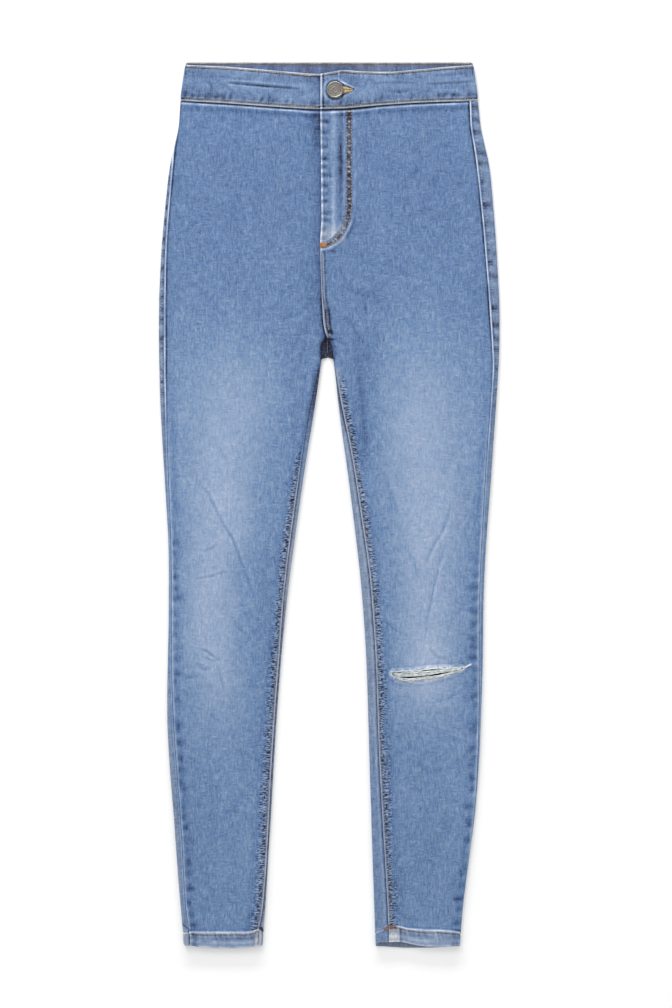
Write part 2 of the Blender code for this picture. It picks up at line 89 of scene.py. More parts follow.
def drift(x, up, across, along, seed):
    """Random values from -1 to 1 that change smoothly over these distances."""
    size = 89
    grid = np.random.default_rng(seed).uniform(-1, 1, (size, size))
    u, v = np.broadcast_arrays(np.asarray(x) / across + 0.5 * size, np.asarray(up) / along)
    i, j = np.floor(u).astype(int), np.floor(v).astype(int)
    s, t = smooth_step(u - i, 0, 1), smooth_step(v - j, 0, 1)
    low = grid[i % size, j % size] * (1 - s) + grid[(i + 1) % size, j % size] * s
    high = grid[i % size, (j + 1) % size] * (1 - s) + grid[(i + 1) % size, (j + 1) % size] * s
    return low * (1 - t) + high * t


print("drift at one place:", round(float(drift(10, 20, 30, 30, 1)), 3))

# %% [markdown]
# ## Measure the frame
# A flat leg is a tube pressed shut. The back panel lies underneath and wraps round both folds, and the
# front panel closes the tube on top. Each CAD node is sliced by planes to read where its folds and seams
# run. So the fine cloth follows the solids, and no outline is typed in twice.

# %% Slice a node


def reach(node, axis, planes):
    """How far down and up a node reaches along the other ground axis, on planes across one axis."""
    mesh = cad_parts[node].data
    mesh.calc_loop_triangles()
    points = np.empty(len(mesh.vertices) * 3)
    mesh.vertices.foreach_get("co", points)
    corners = np.empty(len(mesh.loop_triangles) * 3, int)
    mesh.loop_triangles.foreach_get("vertices", corners)
    start = points.reshape(-1, 3)[corners].reshape(-1, 3, 3) / MM + (0, LENGTH / 2, 0)
    end = np.roll(start, -1, axis=1).reshape(-1, 3)
    start = start.reshape(-1, 3)
    found = []
    for plane in planes:
        a, b = start[:, axis] - plane, end[:, axis] - plane
        cut = a * b < 0
        t = a[cut] / (a[cut] - b[cut])
        other = start[cut, 1 - axis] + t * (end[cut, 1 - axis] - start[cut, 1 - axis])
        found.append((other.min(), other.max()))
    return np.array(found).T


print("at the knee the right leg reaches", reach("back_right", 1, [320.0]).ravel().round(1), "mm across")

# %% Turn measured values into a function


def curve(at, values, even=0.0, hold=False):
    """A function through measured values, evened out, and straight or held beyond its ends."""
    if even:
        count = int(3 * even) + 1
        weights = bell(np.arange(-count, count + 1), 0, even)
        before = 2 * values[0] - values[count:0:-1]
        after = 2 * values[-1] - values[-2 : -count - 2 : -1]
        values = np.convolve(np.concatenate([before, values, after]), weights / weights.sum(), "valid")
    first = 0 if hold else (values[2] - values[0]) / (at[2] - at[0])
    last = 0 if hold else (values[-1] - values[-3]) / (at[-1] - at[-3])

    def read(x):
        beyond = np.minimum(np.asarray(x) - at[0], 0) * first + np.maximum(np.asarray(x) - at[-1], 0) * last
        return np.interp(x, at, values) + beyond

    return read


print("half way between 3 and 4:", float(curve(np.arange(3.0), np.array([2.0, 3.0, 4.0]))(1.5)))

# %% Measure both legs
SIDES = {"right": -1, "left": 1}  # the wearer's legs, and which way along X is outward
FORK_UP, ARCH_UP, CROSSING_UP = 688.4, 690.2, 715.0  # where the legs part, the arch, and the seams' crossing
WAIST_SEAM_UP = 990.0
HIP_START = 691.0  # from here up the legs are one hip
ALL_UPS = np.arange(16.0, 976.0, 3.0)
LEG_UPS = np.arange(16.0, 682.0, 3.0)
HIP_UPS = np.arange(HIP_START, 976.0, 3.0)


def measure(side, outward):
    """Every edge of one leg and hip, as functions of the height or of the place across."""
    far = 0 if outward < 0 else 1
    front, back = "front_" + side, "back_" + side
    found = {
        "outer": curve(ALL_UPS, reach(back, 1, ALL_UPS)[far], 2.5),
        "outseam": curve(ALL_UPS, reach(front, 1, ALL_UPS)[far], 2.5),
        "inner": curve(LEG_UPS, reach(back, 1, LEG_UPS)[1 - far], 2.5),
        "inseam": curve(LEG_UPS, reach(front, 1, LEG_UPS)[1 - far], 2.5),
        "centre": curve(HIP_UPS, reach(front, 1, HIP_UPS)[1 - far], 0.8, True),
        "centre_back": curve(HIP_UPS, reach(back, 1, HIP_UPS)[1 - far], 0.8, True),
    }
    hems = ("hem_back", back, "outer", "inner"), ("hem_front", front, "outseam", "inseam")
    for name, node, *ends in hems:
        first, last = sorted(float(found[end](6.0)) for end in ends)
        across = np.arange(first + 3.5, last - 3.5, 2.0)
        found[name] = curve(across, reach(node, 0, across)[0], 1.0, True)
    waist = np.arange(*sorted((outward * 160.0, outward * 6.0)), 2.0)
    found["waist"] = curve(waist, reach(front, 0, waist)[1], 2.0)
    return found


EDGES = {side: measure(side, outward) for side, outward in SIDES.items()}
FLY_PULL = ((700, 720, 830, 985), (0, -1.2, -1.3, -3.1))  # at which heights the lapping edge lies how far out
solid_edge = EDGES["left"]["centre"]
EDGES["left"]["centre"] = lambda up: solid_edge(up) + np.interp(up, *FLY_PULL)
print("ankle", round(float(EDGES["right"]["inner"](60) - EDGES["right"]["outer"](60)), 1), "mm wide")

# %% [markdown]
# ## The ring
# Every panel is laid out on a ring: the section through a flattened leg, which is two straight layers
# joined by half circles. A point's distance round the ring says where it lies, so a seam stays a seam
# whether it shows on top or has rolled over the fold. The same ring works for the waistband.

# %% Lay cloth round a fold
WALL, LEG_HALF = 1.2, 2.4  # one layer of denim, and half the height of a leg that lies flat
HEM_UP, HEM_WALL, HEM_HALF = 15.0, 2.2, 3.2
SEAM_GAP = 0.3
CURL = 2.1  # how far the fronts turn down into the hollow at the crotch


def leg_height(up):
    """Half height and wall of a leg, both larger at the turned-up hem."""
    turned = 1 - smooth_step(up, HEM_UP, HEM_UP + 4)
    return LEG_HALF + turned * (HEM_HALF - LEG_HALF), WALL + turned * (HEM_WALL - WALL)


def ring(edge, outward, half, wall, along):
    """Centre (across, height) of a ring and its outward direction, at a distance round it from a fold."""
    turn_radius = half - wall / 2
    turn = np.clip(along / turn_radius, 0, math.pi)
    past = np.maximum(along - math.pi * turn_radius, 0)
    x = edge - outward * half + outward * (np.minimum(along, 0) - past)
    return x, half + 0 * x, outward * np.sin(turn) + 0 * x, np.cos(turn) + 0 * x


def seam_along(inset, half, wall):
    """Where round the ring a seam lies that shows this far inside the outline."""
    turn = np.arcsin(np.clip(1 - inset / half, 0, 1))
    return np.where(inset >= half, half - inset, (half - wall / 2) * turn)


def rounded(distance, wall):
    """How far both faces of a wall draw in towards its middle beside an edge, so that the edge is round."""
    radius = 0.49 * wall
    t = np.clip(1 - distance / radius, 0, 1)
    return radius * (1 - np.sqrt(1 - t * t))


print("a seam 6 mm inside the outline lies", float(seam_along(6.0, LEG_HALF, WALL)), "mm round the ring")

# %% [markdown]
# ## Closed cloth
# A shell with real thickness looks right at its edges and exports as a clean solid. Solidify could make
# it, but it can't thin the wall to a round edge. So the outer face is a fine grid, the inner face a
# coarser one, and many-sided faces close the rim between them. The wear of the cloth, from dark new
# indigo to white, is kept on the points as an attribute that the shader reads, together with the shade
# and light that are painted into the same value.

# %% Add a mesh
ROOT = "root"


def add_mesh(name, points, faces, smooth=True, rides=True):
    """An object from points in millimetres, measured up from the lowest hem."""
    mesh = bpy.data.meshes.new(name)
    placed = (np.asarray(points, float) - (0, LENGTH / 2, 0)) * MM
    mesh.from_pydata(placed.tolist(), [], faces)
    mesh.validate()
    if smooth:
        mesh.shade_smooth()
    made = bpy.data.objects.new(name, mesh)
    bpy.context.scene.collection.objects.link(made)
    if rides:
        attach(made, ROOT)
    return made


def face_outward(piece):
    """Turns a closed mesh right side out, if its volume comes out negative."""
    if sum(f.center.dot(f.normal) * f.area for f in piece.data.polygons) < 0:
        piece.data.flip_normals()


def stacked(start, rings, sides):
    """Faces of a closed solid whose points are rings stacked on each other, from the point numbered start."""
    faces = []
    last = start + (rings - 1) * sides
    for low in range(start, last, sides):
        for k in range(sides):
            n = (k + 1) % sides
            faces.append([low + k, low + n, low + sides + n, low + sides + k])
    return faces + [list(range(start, start + sides))[::-1], list(range(last, last + sides))]


def paint(piece, name, values):
    """Keeps one value for each point, for a material to read."""
    attribute = piece.data.attributes.new(name, "FLOAT", "POINT")
    attribute.data.foreach_set("value", np.asarray(values, np.float32))


print("a stack of two squares has", len(stacked(0, 2, 4)), "faces")

# %% Build a closed shell
INNER_STEP = 3  # the inner face keeps every third row and column
INSIDE_SHADE, HEM_LIGHT = 0.03, 0.34  # the inside of the tube, painted dark as shade, and the painted light that the hems add


def kept(count):
    """Which rows or columns an inner face keeps: every few, and always the last."""
    return list(range(0, count - 1, INNER_STEP)) + [count - 1]


def outer_area(grid):
    """Area in square metres of a grid of points in millimetres, with its greatest width and length."""
    a, b = grid[1:, :-1] - grid[:-1, :-1], grid[:-1, 1:] - grid[:-1, :-1]
    area = np.linalg.norm(np.cross(a, b), axis=2).sum() * MM * MM
    width = np.linalg.norm(np.diff(grid, axis=1), axis=2).sum(axis=1).max() * MM
    length = np.linalg.norm(np.diff(grid, axis=0), axis=2).sum(axis=0).max() * MM
    return area, width, length


def shell(name, outer, inner, wear_and_shade, dull, ticks=None):
    """A closed cloth wall between two grids of points, rows by columns, in millimetres."""
    rows, columns = outer.shape[:2]
    row_kept, column_kept = kept(rows), kept(columns)
    index = np.arange(rows * columns).reshape(rows, columns)
    under = rows * columns + np.arange(len(row_kept) * len(column_kept)).reshape(len(row_kept), -1)
    top = np.stack([index[:-1, :-1], index[:-1, 1:], index[1:, 1:], index[1:, :-1]], 2).reshape(-1, 4)
    low = np.stack([under[:-1, :-1], under[1:, :-1], under[1:, 1:], under[:-1, 1:]], 2).reshape(-1, 4)
    faces = top.tolist() + low.tolist()
    for i, (a, b) in enumerate(zip(row_kept, row_kept[1:])):
        faces.append(list(index[a : b + 1, 0]) + [under[i + 1, 0], under[i, 0]])
        faces.append(list(index[a : b + 1, -1][::-1]) + [under[i, -1], under[i + 1, -1]])
    for i, (a, b) in enumerate(zip(column_kept, column_kept[1:])):
        faces.append(list(index[0, a : b + 1][::-1]) + [under[0, i], under[0, i + 1]])
        faces.append(list(index[-1, a : b + 1]) + [under[-1, i + 1], under[-1, i]])
    inside = inner[np.ix_(row_kept, column_kept)]
    points = np.concatenate([outer.reshape(-1, 3), inside.reshape(-1, 3)])
    made = add_mesh(name, points, [[int(i) for i in face] for face in faces])
    face_outward(made)
    # the hidden inner face gets painted shade, and painted light near the hem openings
    inside_shade_and_light = INSIDE_SHADE + HEM_LIGHT * smooth_step(inside[..., 1].ravel(), 24, 8)
    paint(made, "wear_and_shade", np.concatenate([wear_and_shade.ravel(), inside_shade_and_light]))
    paint(made, "dull", np.concatenate([dull.ravel(), inside_shade_and_light + 0.25]))
    if ticks is not None:
        paint(made, "ticks", np.concatenate([ticks.ravel(), 0 * inside_shade_and_light]))
    made["flat_area"], made["flat_width"], made["flat_length"] = map(float, outer_area(outer))
    print(name, len(top) * 2 + len(low) * 2, "triangles,", round(made["flat_area"], 4), "square metres")
    return made


print("the inner face keeps rows", kept(10), "of ten")

# %% [markdown]
# ## Puckers
# A seam's thread shrinks and its cloth doesn't, so the seam puckers, and washing rubs each pucker pale
# and leaves the dips between them dark. Here a pucker is one short mark across the seam. Its place,
# reach, slant and strength vary, and the same marks shape the cloth and colour it.

# %% Marks across a seam


def rungs(along, away, pitch, depth, seed, slant=0.0, sharp=0.26, loose=1.0):
    """0 to 1 for marks that start at a seam and reach about this deep. Loose is how uneven they are."""
    count = int(LENGTH / pitch) + 4
    rng = np.random.default_rng(seed)
    place = pitch * (np.arange(count) - 1 + loose * rng.uniform(-0.32, 0.32, count))
    strength = 1 - loose * rng.uniform(0, 0.7, count)
    deep = depth * (1 - loose * rng.uniform(-0.15, 0.55, count))
    tilt = slant + loose * rng.uniform(-0.2, 0.2, count)
    nearest = np.clip(np.searchsorted(place, along), 1, count - 1)
    total = np.zeros(np.broadcast(along, away).shape)
    for k in (nearest - 1, nearest):
        across = (along - place[k] - tilt[k] * away) / (sharp * pitch)
        total += strength[k] * np.exp(-(across**2)) * smooth_step(away, deep[k], 0.55 * deep[k])
    return np.clip(total, 0, 1)


def broken(along, length, seed, least=0.35):
    """How complete a worn line is along a seam: 1 where it is whole, and least where it has faded."""
    return least + (1 - least) * smooth_step(drift(0, along, 1, length, seed), -0.7, 0.3)


print("marks along 20 mm of a seam:", rungs(np.arange(20.0), np.ones(20), 6, 12, 1).round(1))

# %% [markdown]
# ## Fades
# Jeans are sanded while worn on a form, which leaves a pale band down each thigh and over the knee. The
# band is read from short tables of its middle, half width and strength, and a slow drift clouds it.

# %% Where the cloth is faded
FADE_UP = (150, 220, 255, 290, 345, 390, 440, 500, 560, 620, 680, 740, 790, 850)
FADE_STRENGTH = (0, 0.08, 0.3, 0.62, 0.95, 0.98, 0.93, 1.0, 0.9, 0.82, 0.62, 0.32, 0.12, 0)
FADE_MIDDLE = {"right": (-137, -121), "left": (118, 106)}  # at the knee and at the thigh
FADE_HALF_WIDTH = (36, 62)
FADE_LIFT, RIP_LIFT = 0.235, 0.085  # how much paler the bands are, and the cloth round the rip


def fade(side, x, up):
    """How much paler the cloth is here than where it isn't faded."""
    thigh = smooth_step(up, 400, 640)
    knee_x, thigh_x = FADE_MIDDLE[side]
    middle = knee_x + (thigh_x - knee_x) * thigh
    half_width = FADE_HALF_WIDTH[0] + (FADE_HALF_WIDTH[1] - FADE_HALF_WIDTH[0]) * thigh
    wander = 7 * drift(x, up, 40, 70, 11)
    strength = np.interp(up, FADE_UP, FADE_STRENGTH) * bell(x + wander, middle, half_width)
    by_rip = bell(x, 113, 34) * bell(up, 324, 38)
    return FADE_LIFT * strength + RIP_LIFT * by_rip


def clouds(x, up, seed):
    """The uneven wash of the whole cloth."""
    broad = 0.016 * drift(x, up, 34, 60, seed) + 0.014 * drift(x, up, 13, 24, seed + 1)
    return broad + 0.012 * drift(x, up, 5, 11, seed + 2)


print("fade in the middle of the right thigh:", round(float(fade("right", -121.0, 500.0)), 3))

# %% [markdown]
# ## Creases
# Denim that has been folded and worn keeps long slanting creases over the thighs and knees. Each crease
# here is a line of points with a half width and a depth: a trough with a low ridge along one side,
# fading out at both ends. Simulation could make creases too, but not in the same places as the real ones.

# %% Creases
CREASES = (
    # points (across, up), half width, depth
    (((-155, 548), (-140, 529), (-127, 501), (-112, 476), (-104, 454), (-96, 434), (-88, 408)), 2.0, 0.75),
    (((-153, 466), (-146, 463), (-137, 467), (-130, 473)), 1.8, 0.4),
    (((-158, 431), (-142, 433), (-120, 440)), 1.8, 0.42),
    (((-154, 350), (-142, 346), (-133, 338), (-126, 336)), 1.8, 0.8),
    (((-150, 341), (-138, 336), (-130, 334)), 1.8, 0.5),
    (((-132, 334), (-128, 320), (-122, 298)), 1.9, 0.5),
    (((-156, 332), (-146, 325), (-138, 327)), 2.6, 0.5),
    (((-120, 392), (-104, 372), (-92, 360)), 3.4, 0.35),
    (((-176, 322), (-166, 316), (-154, 315)), 3.0, 0.35),
    (((-150, 610), (-132, 592), (-118, 566)), 4.0, 0.2),
    (((143, 519), (133, 488), (121, 468), (111, 446)), 2.2, 0.65),
    (((137, 474), (129, 450), (122, 420), (115, 384), (112, 360)), 2.0, 0.65),
    (((88, 470), (99, 450), (106, 430)), 3.4, 0.35),
    (((158, 402), (146, 386), (137, 366)), 3.4, 0.35),
    (((62, 386), (76, 372), (92, 364)), 3.2, 0.35),
    (((60, 560), (72, 530), (80, 506)), 4.0, 0.35),
    (((150, 590), (141, 566), (128, 548)), 4.0, 0.3),
    (((150, 300), (138, 290), (122, 288)), 3.2, 0.35),
    (((118, 350), (126, 340), (140, 336)), 2.6, 0.4),
    (((-150, 208), (-136, 204), (-120, 210)), 3.2, 0.25),
    (((-18, 760), (-34, 742), (-58, 734)), 4.0, 0.4),
    (((-20, 738), (-34, 716), (-48, 688)), 3.6, 0.35),
    (((12, 744), (30, 722), (44, 700)), 4.0, 0.3),
    (((10, 776), (34, 764), (60, 760)), 4.5, 0.3),
    (((33, 690), (37, 652), (41, 604), (42, 560)), 6.0, 0.5),
    (((41, 759), (43, 748), (42, 736)), 1.8, 0.6),
    (((100, 216), (116, 206), (136, 208)), 3.2, 0.25),
    (((-124, 60), (-110, 52), (-94, 54)), 3.0, 0.3),
    (((76, 44), (92, 34), (112, 32)), 3.0, 0.35),
)


def creases(x, up, lines):
    """Height of creases over a grid of places, and their colour: a painted shadow line in each trough
    and a little painted light on its ridge.
    """
    height, wear_and_shade = np.zeros(x.shape), np.zeros(x.shape)
    for points, half_width, depth in lines:
        points = np.array(points, float)
        low, high = points.min(axis=0) - 4 * half_width, points.max(axis=0) + 4 * half_width
        near = (x > low[0]) & (x < high[0]) & (up > low[1]) & (up < high[1])
        if not near.any():
            continue
        here = np.stack([x[near], up[near]], 1)
        best, side, share = np.full(len(here), 1e9), np.zeros(len(here)), np.zeros(len(here))
        for k, (a, b) in enumerate(zip(points, points[1:])):
            run = b - a
            t = np.clip((here - a) @ run / (run @ run), 0, 1)
            away = here - a - t[:, None] * run
            distance = np.linalg.norm(away, axis=1)
            closer = distance < best
            best[closer] = distance[closer]
            side[closer] = np.sign(run[0] * away[:, 1] - run[1] * away[:, 0])[closer]
            share[closer] = ((k + t) / (len(points) - 1))[closer]
        fading = np.sqrt(np.clip(np.sin(math.pi * share), 0, 1))
        fading *= smooth_step(best, 4 * half_width, 2 * half_width)
        trough = bell(best, 0, half_width) * fading
        ridge = bell(best * side, 1.7 * half_width, half_width) * fading
        height[near] += 0.8 * depth * (0.55 * ridge - trough)
        # colour: a painted shadow line along the trough and a little painted light on the ridge
        line = bell(best, 0, 0.45 * half_width) * fading
        wear_and_shade[near] += depth * (0.07 * ridge - 0.19 * line - 0.05 * trough)
    return height, wear_and_shade


print(len(CREASES), "creases")

# %% [markdown]
# ## Broad form of the top layer
# What the CAD solids hold comes first: the cloth settles between its folds, the lapping front of the fly
# stands higher, and seam allowances raise the borders. Sculpting could do this too, but a few functions
# keep every panel in step with its neighbours.

# %% The broad form of the top layer
BORDER_RAISE, BORDER_WIDTH = 0.45, 7.0
SINK, FLY_LIFT = 0.5, 0.8
FLY_WIDTH, FELL_WIDTH, FLY_BOTTOM_UP = 34.0, 7.0, 818.0


def settle(side, x, up):
    """How far the top layer sinks between its two folds."""
    edges = EDGES[side]
    inner = np.where(up < ARCH_UP, edges["inner"](np.minimum(up, 680)), edges["inner"](680.0))
    share = (x - inner) / (edges["outer"](up) - inner)
    return -SINK * smooth_step(share, 0.03, 0.35) * smooth_step(share, 0.97, 0.65)


def centre_line(up):
    """The free edge of the lapping front, and below the crossing the edge of the hollow."""
    return EDGES["left"]["centre"](up)


def fly_step(side, x, up):
    """How far one front is lifted, or the other pressed down, where they lap."""
    out = SIDES[side] * (x - centre_line(up))
    there = smooth_step(up, CROSSING_UP - 3, CROSSING_UP + 13)
    if side == "right":
        return -FLY_LIFT * there * (1 - smooth_step(out, 1, 10))
    width = FELL_WIDTH + (FLY_WIDTH - FELL_WIDTH) * smooth_step(up, FLY_BOTTOM_UP - 4, FLY_BOTTOM_UP + 30)
    return FLY_LIFT * there * (1 - smooth_step(out, width, width + 10))


def border(distance):
    """The ridge that the seam allowances raise beside a seam."""
    return BORDER_RAISE * (1 - smooth_step(distance, BORDER_WIDTH - 1, BORDER_WIDTH + 2))


print("the lapping front stands", round(float(fly_step("left", 0.0, 900.0)), 2), "mm higher")

# %% [markdown]
# ## Lay the panels along the garment
# The hems bulge and the waist seam dips, so the rows of each panel bend to the edges measured before. A
# point of the top layer follows the front's edge, and one on the floor follows the back's.

# %% Rows of a panel
HEM_LINE = {  # places across, and how far the hem's stitching rides up there
    "right": ((-165, -150, -133, -110, -97, -89, -84, -80), (1.4, 2.2, 3.0, 3.0, 2.4, 2.8, 5.2, 4.4)),
    "left": (
        (48, 60, 67, 73, 80, 90, 107, 130, 145, 153),
        (-0.4, 0.6, 4.4, 6.4, 5.2, 3.6, 4.2, 4.4, 2.4, 0.6),
    ),
}
ROW_STEP = 1.25
EDGE_STEPS = (0, 0.15, 0.4, 0.7, 1.1)  # rows and columns lie close together at an edge, so that it is round
WAIST_STEPS = EDGE_STEPS + (1.5, 1.9, 2.3, 2.8, 3.3, 3.9)
ROWS = np.concatenate(
    [
        EDGE_STEPS,
        np.arange(1.8, HEM_UP - 2.6, 1.3),
        np.arange(HEM_UP - 2.4, HEM_UP + 4.2, 0.55),
        np.arange(HEM_UP + 4.8, FORK_UP - 0.6, ROW_STEP),
        (FORK_UP, (FORK_UP + ARCH_UP) / 2, ARCH_UP),
        np.arange(ARCH_UP + ROW_STEP, WAIST_SEAM_UP - 4.4, ROW_STEP),
        WAIST_SEAM_UP - np.array(WAIST_STEPS)[::-1],
    ]
)[:, None]


def lay(side, x, up, top):
    """Place along the garment of a point, where top is 1 on the top layer and 0 on the floor."""
    edges = EDGES[side]
    hem = edges["hem_back"](x) + top * (edges["hem_front"](x) - edges["hem_back"](x))
    at_waist = smooth_step(up, 880, WAIST_SEAM_UP)
    waist = top * (edges["waist"](x) - WAIST_SEAM_UP) * at_waist
    bump = top * np.interp(x, *HEM_LINE[side]) * bell(up, HEM_UP, 10) * smooth_step(up, 0, 8)
    drop = (1 - top) * (SEAM_GAP / 2 + 0.1) * at_waist
    return up + (1 - smooth_step(up, 0, 40)) * hem + bump + waist - drop


print(len(ROWS), "rows")

# %% [markdown]
# ## Unroll a panel
# A panel runs from its outseam to its inseam, partly flat and partly round a fold. Its columns lie close
# together beside the seams, where the fine relief is, and far apart between them. A subdivided plane
# would spend as many points on plain cloth. One function serves fronts and backs, which turn opposite
# ways from each seam.

# %% Columns of a panel
FAR = 99.0  # stands for a seam that is too far away to matter


def level(x, half, facing):
    """Ring values of a flat stretch that faces up (1) or down (-1)."""
    return x, half + 0 * x, 0 * x, facing + 0 * x


def unroll(side, facing, out_steps, in_steps, columns, seed):
    """Every point of a panel, with what its form and its finish need to know about its place."""
    outward, edges = SIDES[side], EDGES[side]
    half, wall = leg_height(ROWS)
    gap = SEAM_GAP if facing < 0 else 0.0
    outer, inner = edges["outer"](ROWS), edges["inner"](np.minimum(ROWS, FORK_UP))
    outseam = seam_along(np.abs(outer - edges["outseam"](ROWS)), half, wall) + gap
    inseam = seam_along(np.abs(inner - edges["inseam"](np.minimum(ROWS, FORK_UP))), half, wall) + gap
    start = ring(outer, outward, half, wall, outseam - facing * out_steps)
    leg_end = ring(inner, -outward, half, wall, inseam - facing * in_steps)
    centre = edges["centre" if facing > 0 else "centre_back"](np.maximum(ROWS, HIP_START))
    hip = smooth_step(ROWS, FORK_UP, ARCH_UP)
    end = [a * (1 - hip) + b * hip for a, b in zip(leg_end, level(centre + outward * in_steps, half, facing))]
    share = np.linspace(0, 1, columns + 2)[1:-1]
    middle = level(start[0][:, -1:] + (end[0][:, :1] - start[0][:, -1:]) * share, half, facing)
    x, z, out, rise = (np.concatenate(parts, axis=1) for parts in zip(start, middle, end))
    no_start, no_middle, no_end = (np.full(part[0].shape, FAR) for part in (start, middle, end))
    up = ROWS + 0 * x
    top = np.clip(rise, 0, 1)
    return SimpleNamespace(
        side=side,
        seed=seed,
        x=x,
        z=z,
        out=out,
        rise=rise,
        up=up,
        top=top,
        placed=lay(side, x, up, top),
        from_out=np.concatenate([out_steps + 0 * ROWS, no_middle, no_end], axis=1),
        from_in=np.concatenate([no_start, no_middle, in_steps + 0 * ROWS], axis=1),
        leg=smooth_step(up, ARCH_UP, ARCH_UP - 21 - facing),  # 1 in the leg, 0 in the hip
        high=smooth_step(up, 520, 690),  # 1 on the hip and the top of the thigh
        hip=hip,
    )


def stand(p, away):
    """Points that lie this far out from the middle of the ring."""
    return np.stack([p.x + p.out * away, p.placed, p.z + p.rise * away], 2)


tried = unroll("right", -1, np.arange(3.0), np.arange(3.0), 2, 0)
print("a panel of 8 columns unrolls to", tried.x.shape, "points")

# %% From effects to a shell


def panel_shell(name, p, broad, borders, relief, finish):
    """A panel. Its broad form bends both faces, and borders and relief raise the outer one."""
    half, wall = leg_height(ROWS)
    to_edge = np.minimum(np.minimum(p.from_out, p.from_in), np.minimum(p.up, WAIST_SEAM_UP - p.up))
    draw = rounded(to_edge, wall)
    outer = stand(p, half - draw + p.top * (broad + borders) + relief)
    inner = stand(p, half - wall + draw + p.top * broad)
    return shell(name, outer, inner, *finish)


def add_up(height, wear_and_shade, effects, p):
    """What all effects do to a panel: its relief, and its wear with painted shade, dullness and ticks."""
    dull = 0 * p.x
    for effect in effects:
        more_height, more_wear, more_dull = effect(p)
        height, wear_and_shade, dull = height + more_height, wear_and_shade + more_wear, dull + more_dull
    return height, (wear_and_shade, np.clip(dull, 0, 1), p.ticks)


print("its first point stands at", stand(tried, LEG_HALF)[0, 0].round(1))

# %% [markdown]
# ## Outseams and inseams of the fronts
# On the hips the outseam lies in a groove painted dark as shade, beside a pale ridge on the back panel.
# Lower down it is rubbed, with dark blotches where the cloth ropes. The inseam's own edge is rubbed pale,
# with a ladder of puckers on the front side. This is the heart of the likeness, so each effect is a
# function of its own, with a line or two for height and for wear and painted shade.

# %% Seams of a front panel
RUBBED_UP = (690, 600)  # here the outseam's groove turns into a rubbed line
ROPING_UP = (520, 430)  # and here its blotches begin
SEAM_SHOWS = {"right": (606, 520), "left": (668, 625)}  # where the inseam's lines begin below the crotch
LADDER_UP = {"right": (600, 560), "left": (678, 652)}  # where its ladder begins
LADDER_TICKS = 3.7


def front_outseam(p):
    """A groove painted dark as shade beside the back panel's ridge, painted shade along the border, and
    blotches.
    """
    up, from_out, seed = p.up, p.from_out, p.seed
    lower, low = smooth_step(up, *RUBBED_UP), smooth_step(up, *ROPING_UP)
    groove = bell(from_out, 0.8, 0.95) * broken(up, 30, seed + 7, 0.5) * p.high
    rubbed = bell(from_out, 0.7, 1.4) * broken(up, 20, seed + 31, 0.6) * lower
    if p.side == "left":
        rubbed *= smooth_step(up, 60, 130)
    blotch = rungs(up, from_out, 14, 15, seed + 8, 0, 0.3) * (0.1 + 0.9 * low) * smooth_step(from_out, 0.5, 3)
    lights = rungs(up + 7, from_out, 14, 12, seed + 8, 0, 0.24) * low
    # a rubbed line, and a little painted shade along the border beside it
    wear_and_shade = 0.2 * rubbed - 0.065 * lower * bell(from_out, 6.2, 3.2)
    # the groove is painted dark as shade in it; the blotches and lights are the roping
    wear_and_shade += 0.08 * lights - 0.27 * blotch - 0.38 * groove
    height = 0.2 * lights - 0.25 * blotch - 0.35 * groove
    return height, wear_and_shade, 0.06 * bell(from_out, 0, 2.0)


def front_inseam(p):
    """A rubbed edge, a stitched groove painted dark as shade and a ladder of puckers, with painted shade on
    the inner thigh, along the right leg's inner edge and in the hollow at the crotch.
    """
    up, from_in, seed = p.up, p.from_in, p.seed
    seamed = p.leg * smooth_step(up, *SEAM_SHOWS[p.side]) * smooth_step(up, HEM_UP - 1, HEM_UP + 2)
    laddered = p.leg * smooth_step(up, *LADDER_UP[p.side]) * smooth_step(up, HEM_UP, HEM_UP + 3)
    beside = smooth_step(from_in, 1.4, 2.6)
    deep = from_in * 13 / (10.5 + 2.5 * smooth_step(up, 480, 240))
    dark = rungs(up, deep, 5.2, 15, seed + 9, 0.16, 0.22, 0.9) * beside
    lights = rungs(up + 2.6, deep, 5.2, 13.5, seed + 9, 0.16, 0.22, 0.9) * beside
    near = smooth_step(from_in, 7.5, 5.5) * beside
    far = smooth_step(from_in, 4.5, 6.5) * smooth_step(deep, 14, 11)
    p.ticks = LADDER_TICKS * laddered * (near + 0.85 * far * broken(up, 16, seed + 30, 0.35))
    edge = bell(from_in, 0.3, 0.8) * broken(up, 9, seed + 11, 0.6)
    # the rubbed edge, and painted shade in the stitched groove beside it
    wear_and_shade = seamed * (0.27 * edge - 0.16 * bell(from_in, 2.5, 0.9))
    # the ladder's puckers, with a painted shadow where it ends
    wear_and_shade += laddered * (0.08 * lights - 0.2 * dark - 0.06 * near - 0.05 * bell(deep, 14, 4))
    height = seamed * 0.3 * edge + laddered * (0.25 * lights - 0.35 * dark)
    inner_thigh = smooth_step(up, 540, 610) * smooth_step(up, 740, 690)
    thread_shows = 0.5
    if p.side == "right":
        # painted shade along the right leg's inner edge and on its inner thigh
        wear_and_shade -= 0.3 * smooth_step(from_in, 8, 0) * smooth_step(up, 500, 680) * p.leg
        wear_and_shade -= 0.04 * inner_thigh * bell(p.x, -38, 16)
        thread_shows = 0.5 - 0.45 * smooth_step(up, 530, 590)
    else:
        # painted shade on the left inner thigh
        wear_and_shade -= 0.12 * inner_thigh * bell(p.x, 43, 20)
    # painted shade in the hollow at the crotch
    hollow = smooth_step(up, 676, 690) * smooth_step(up, 722, 706)
    wear_and_shade -= 0.3 * hollow * bell(from_in, 0, 2.4)
    return height, wear_and_shade, p.leg * bell(from_in, 2.2, 3.4) * thread_shows


print("the ladders begin", [ups[0] for ups in LADDER_UP.values()], "mm up")

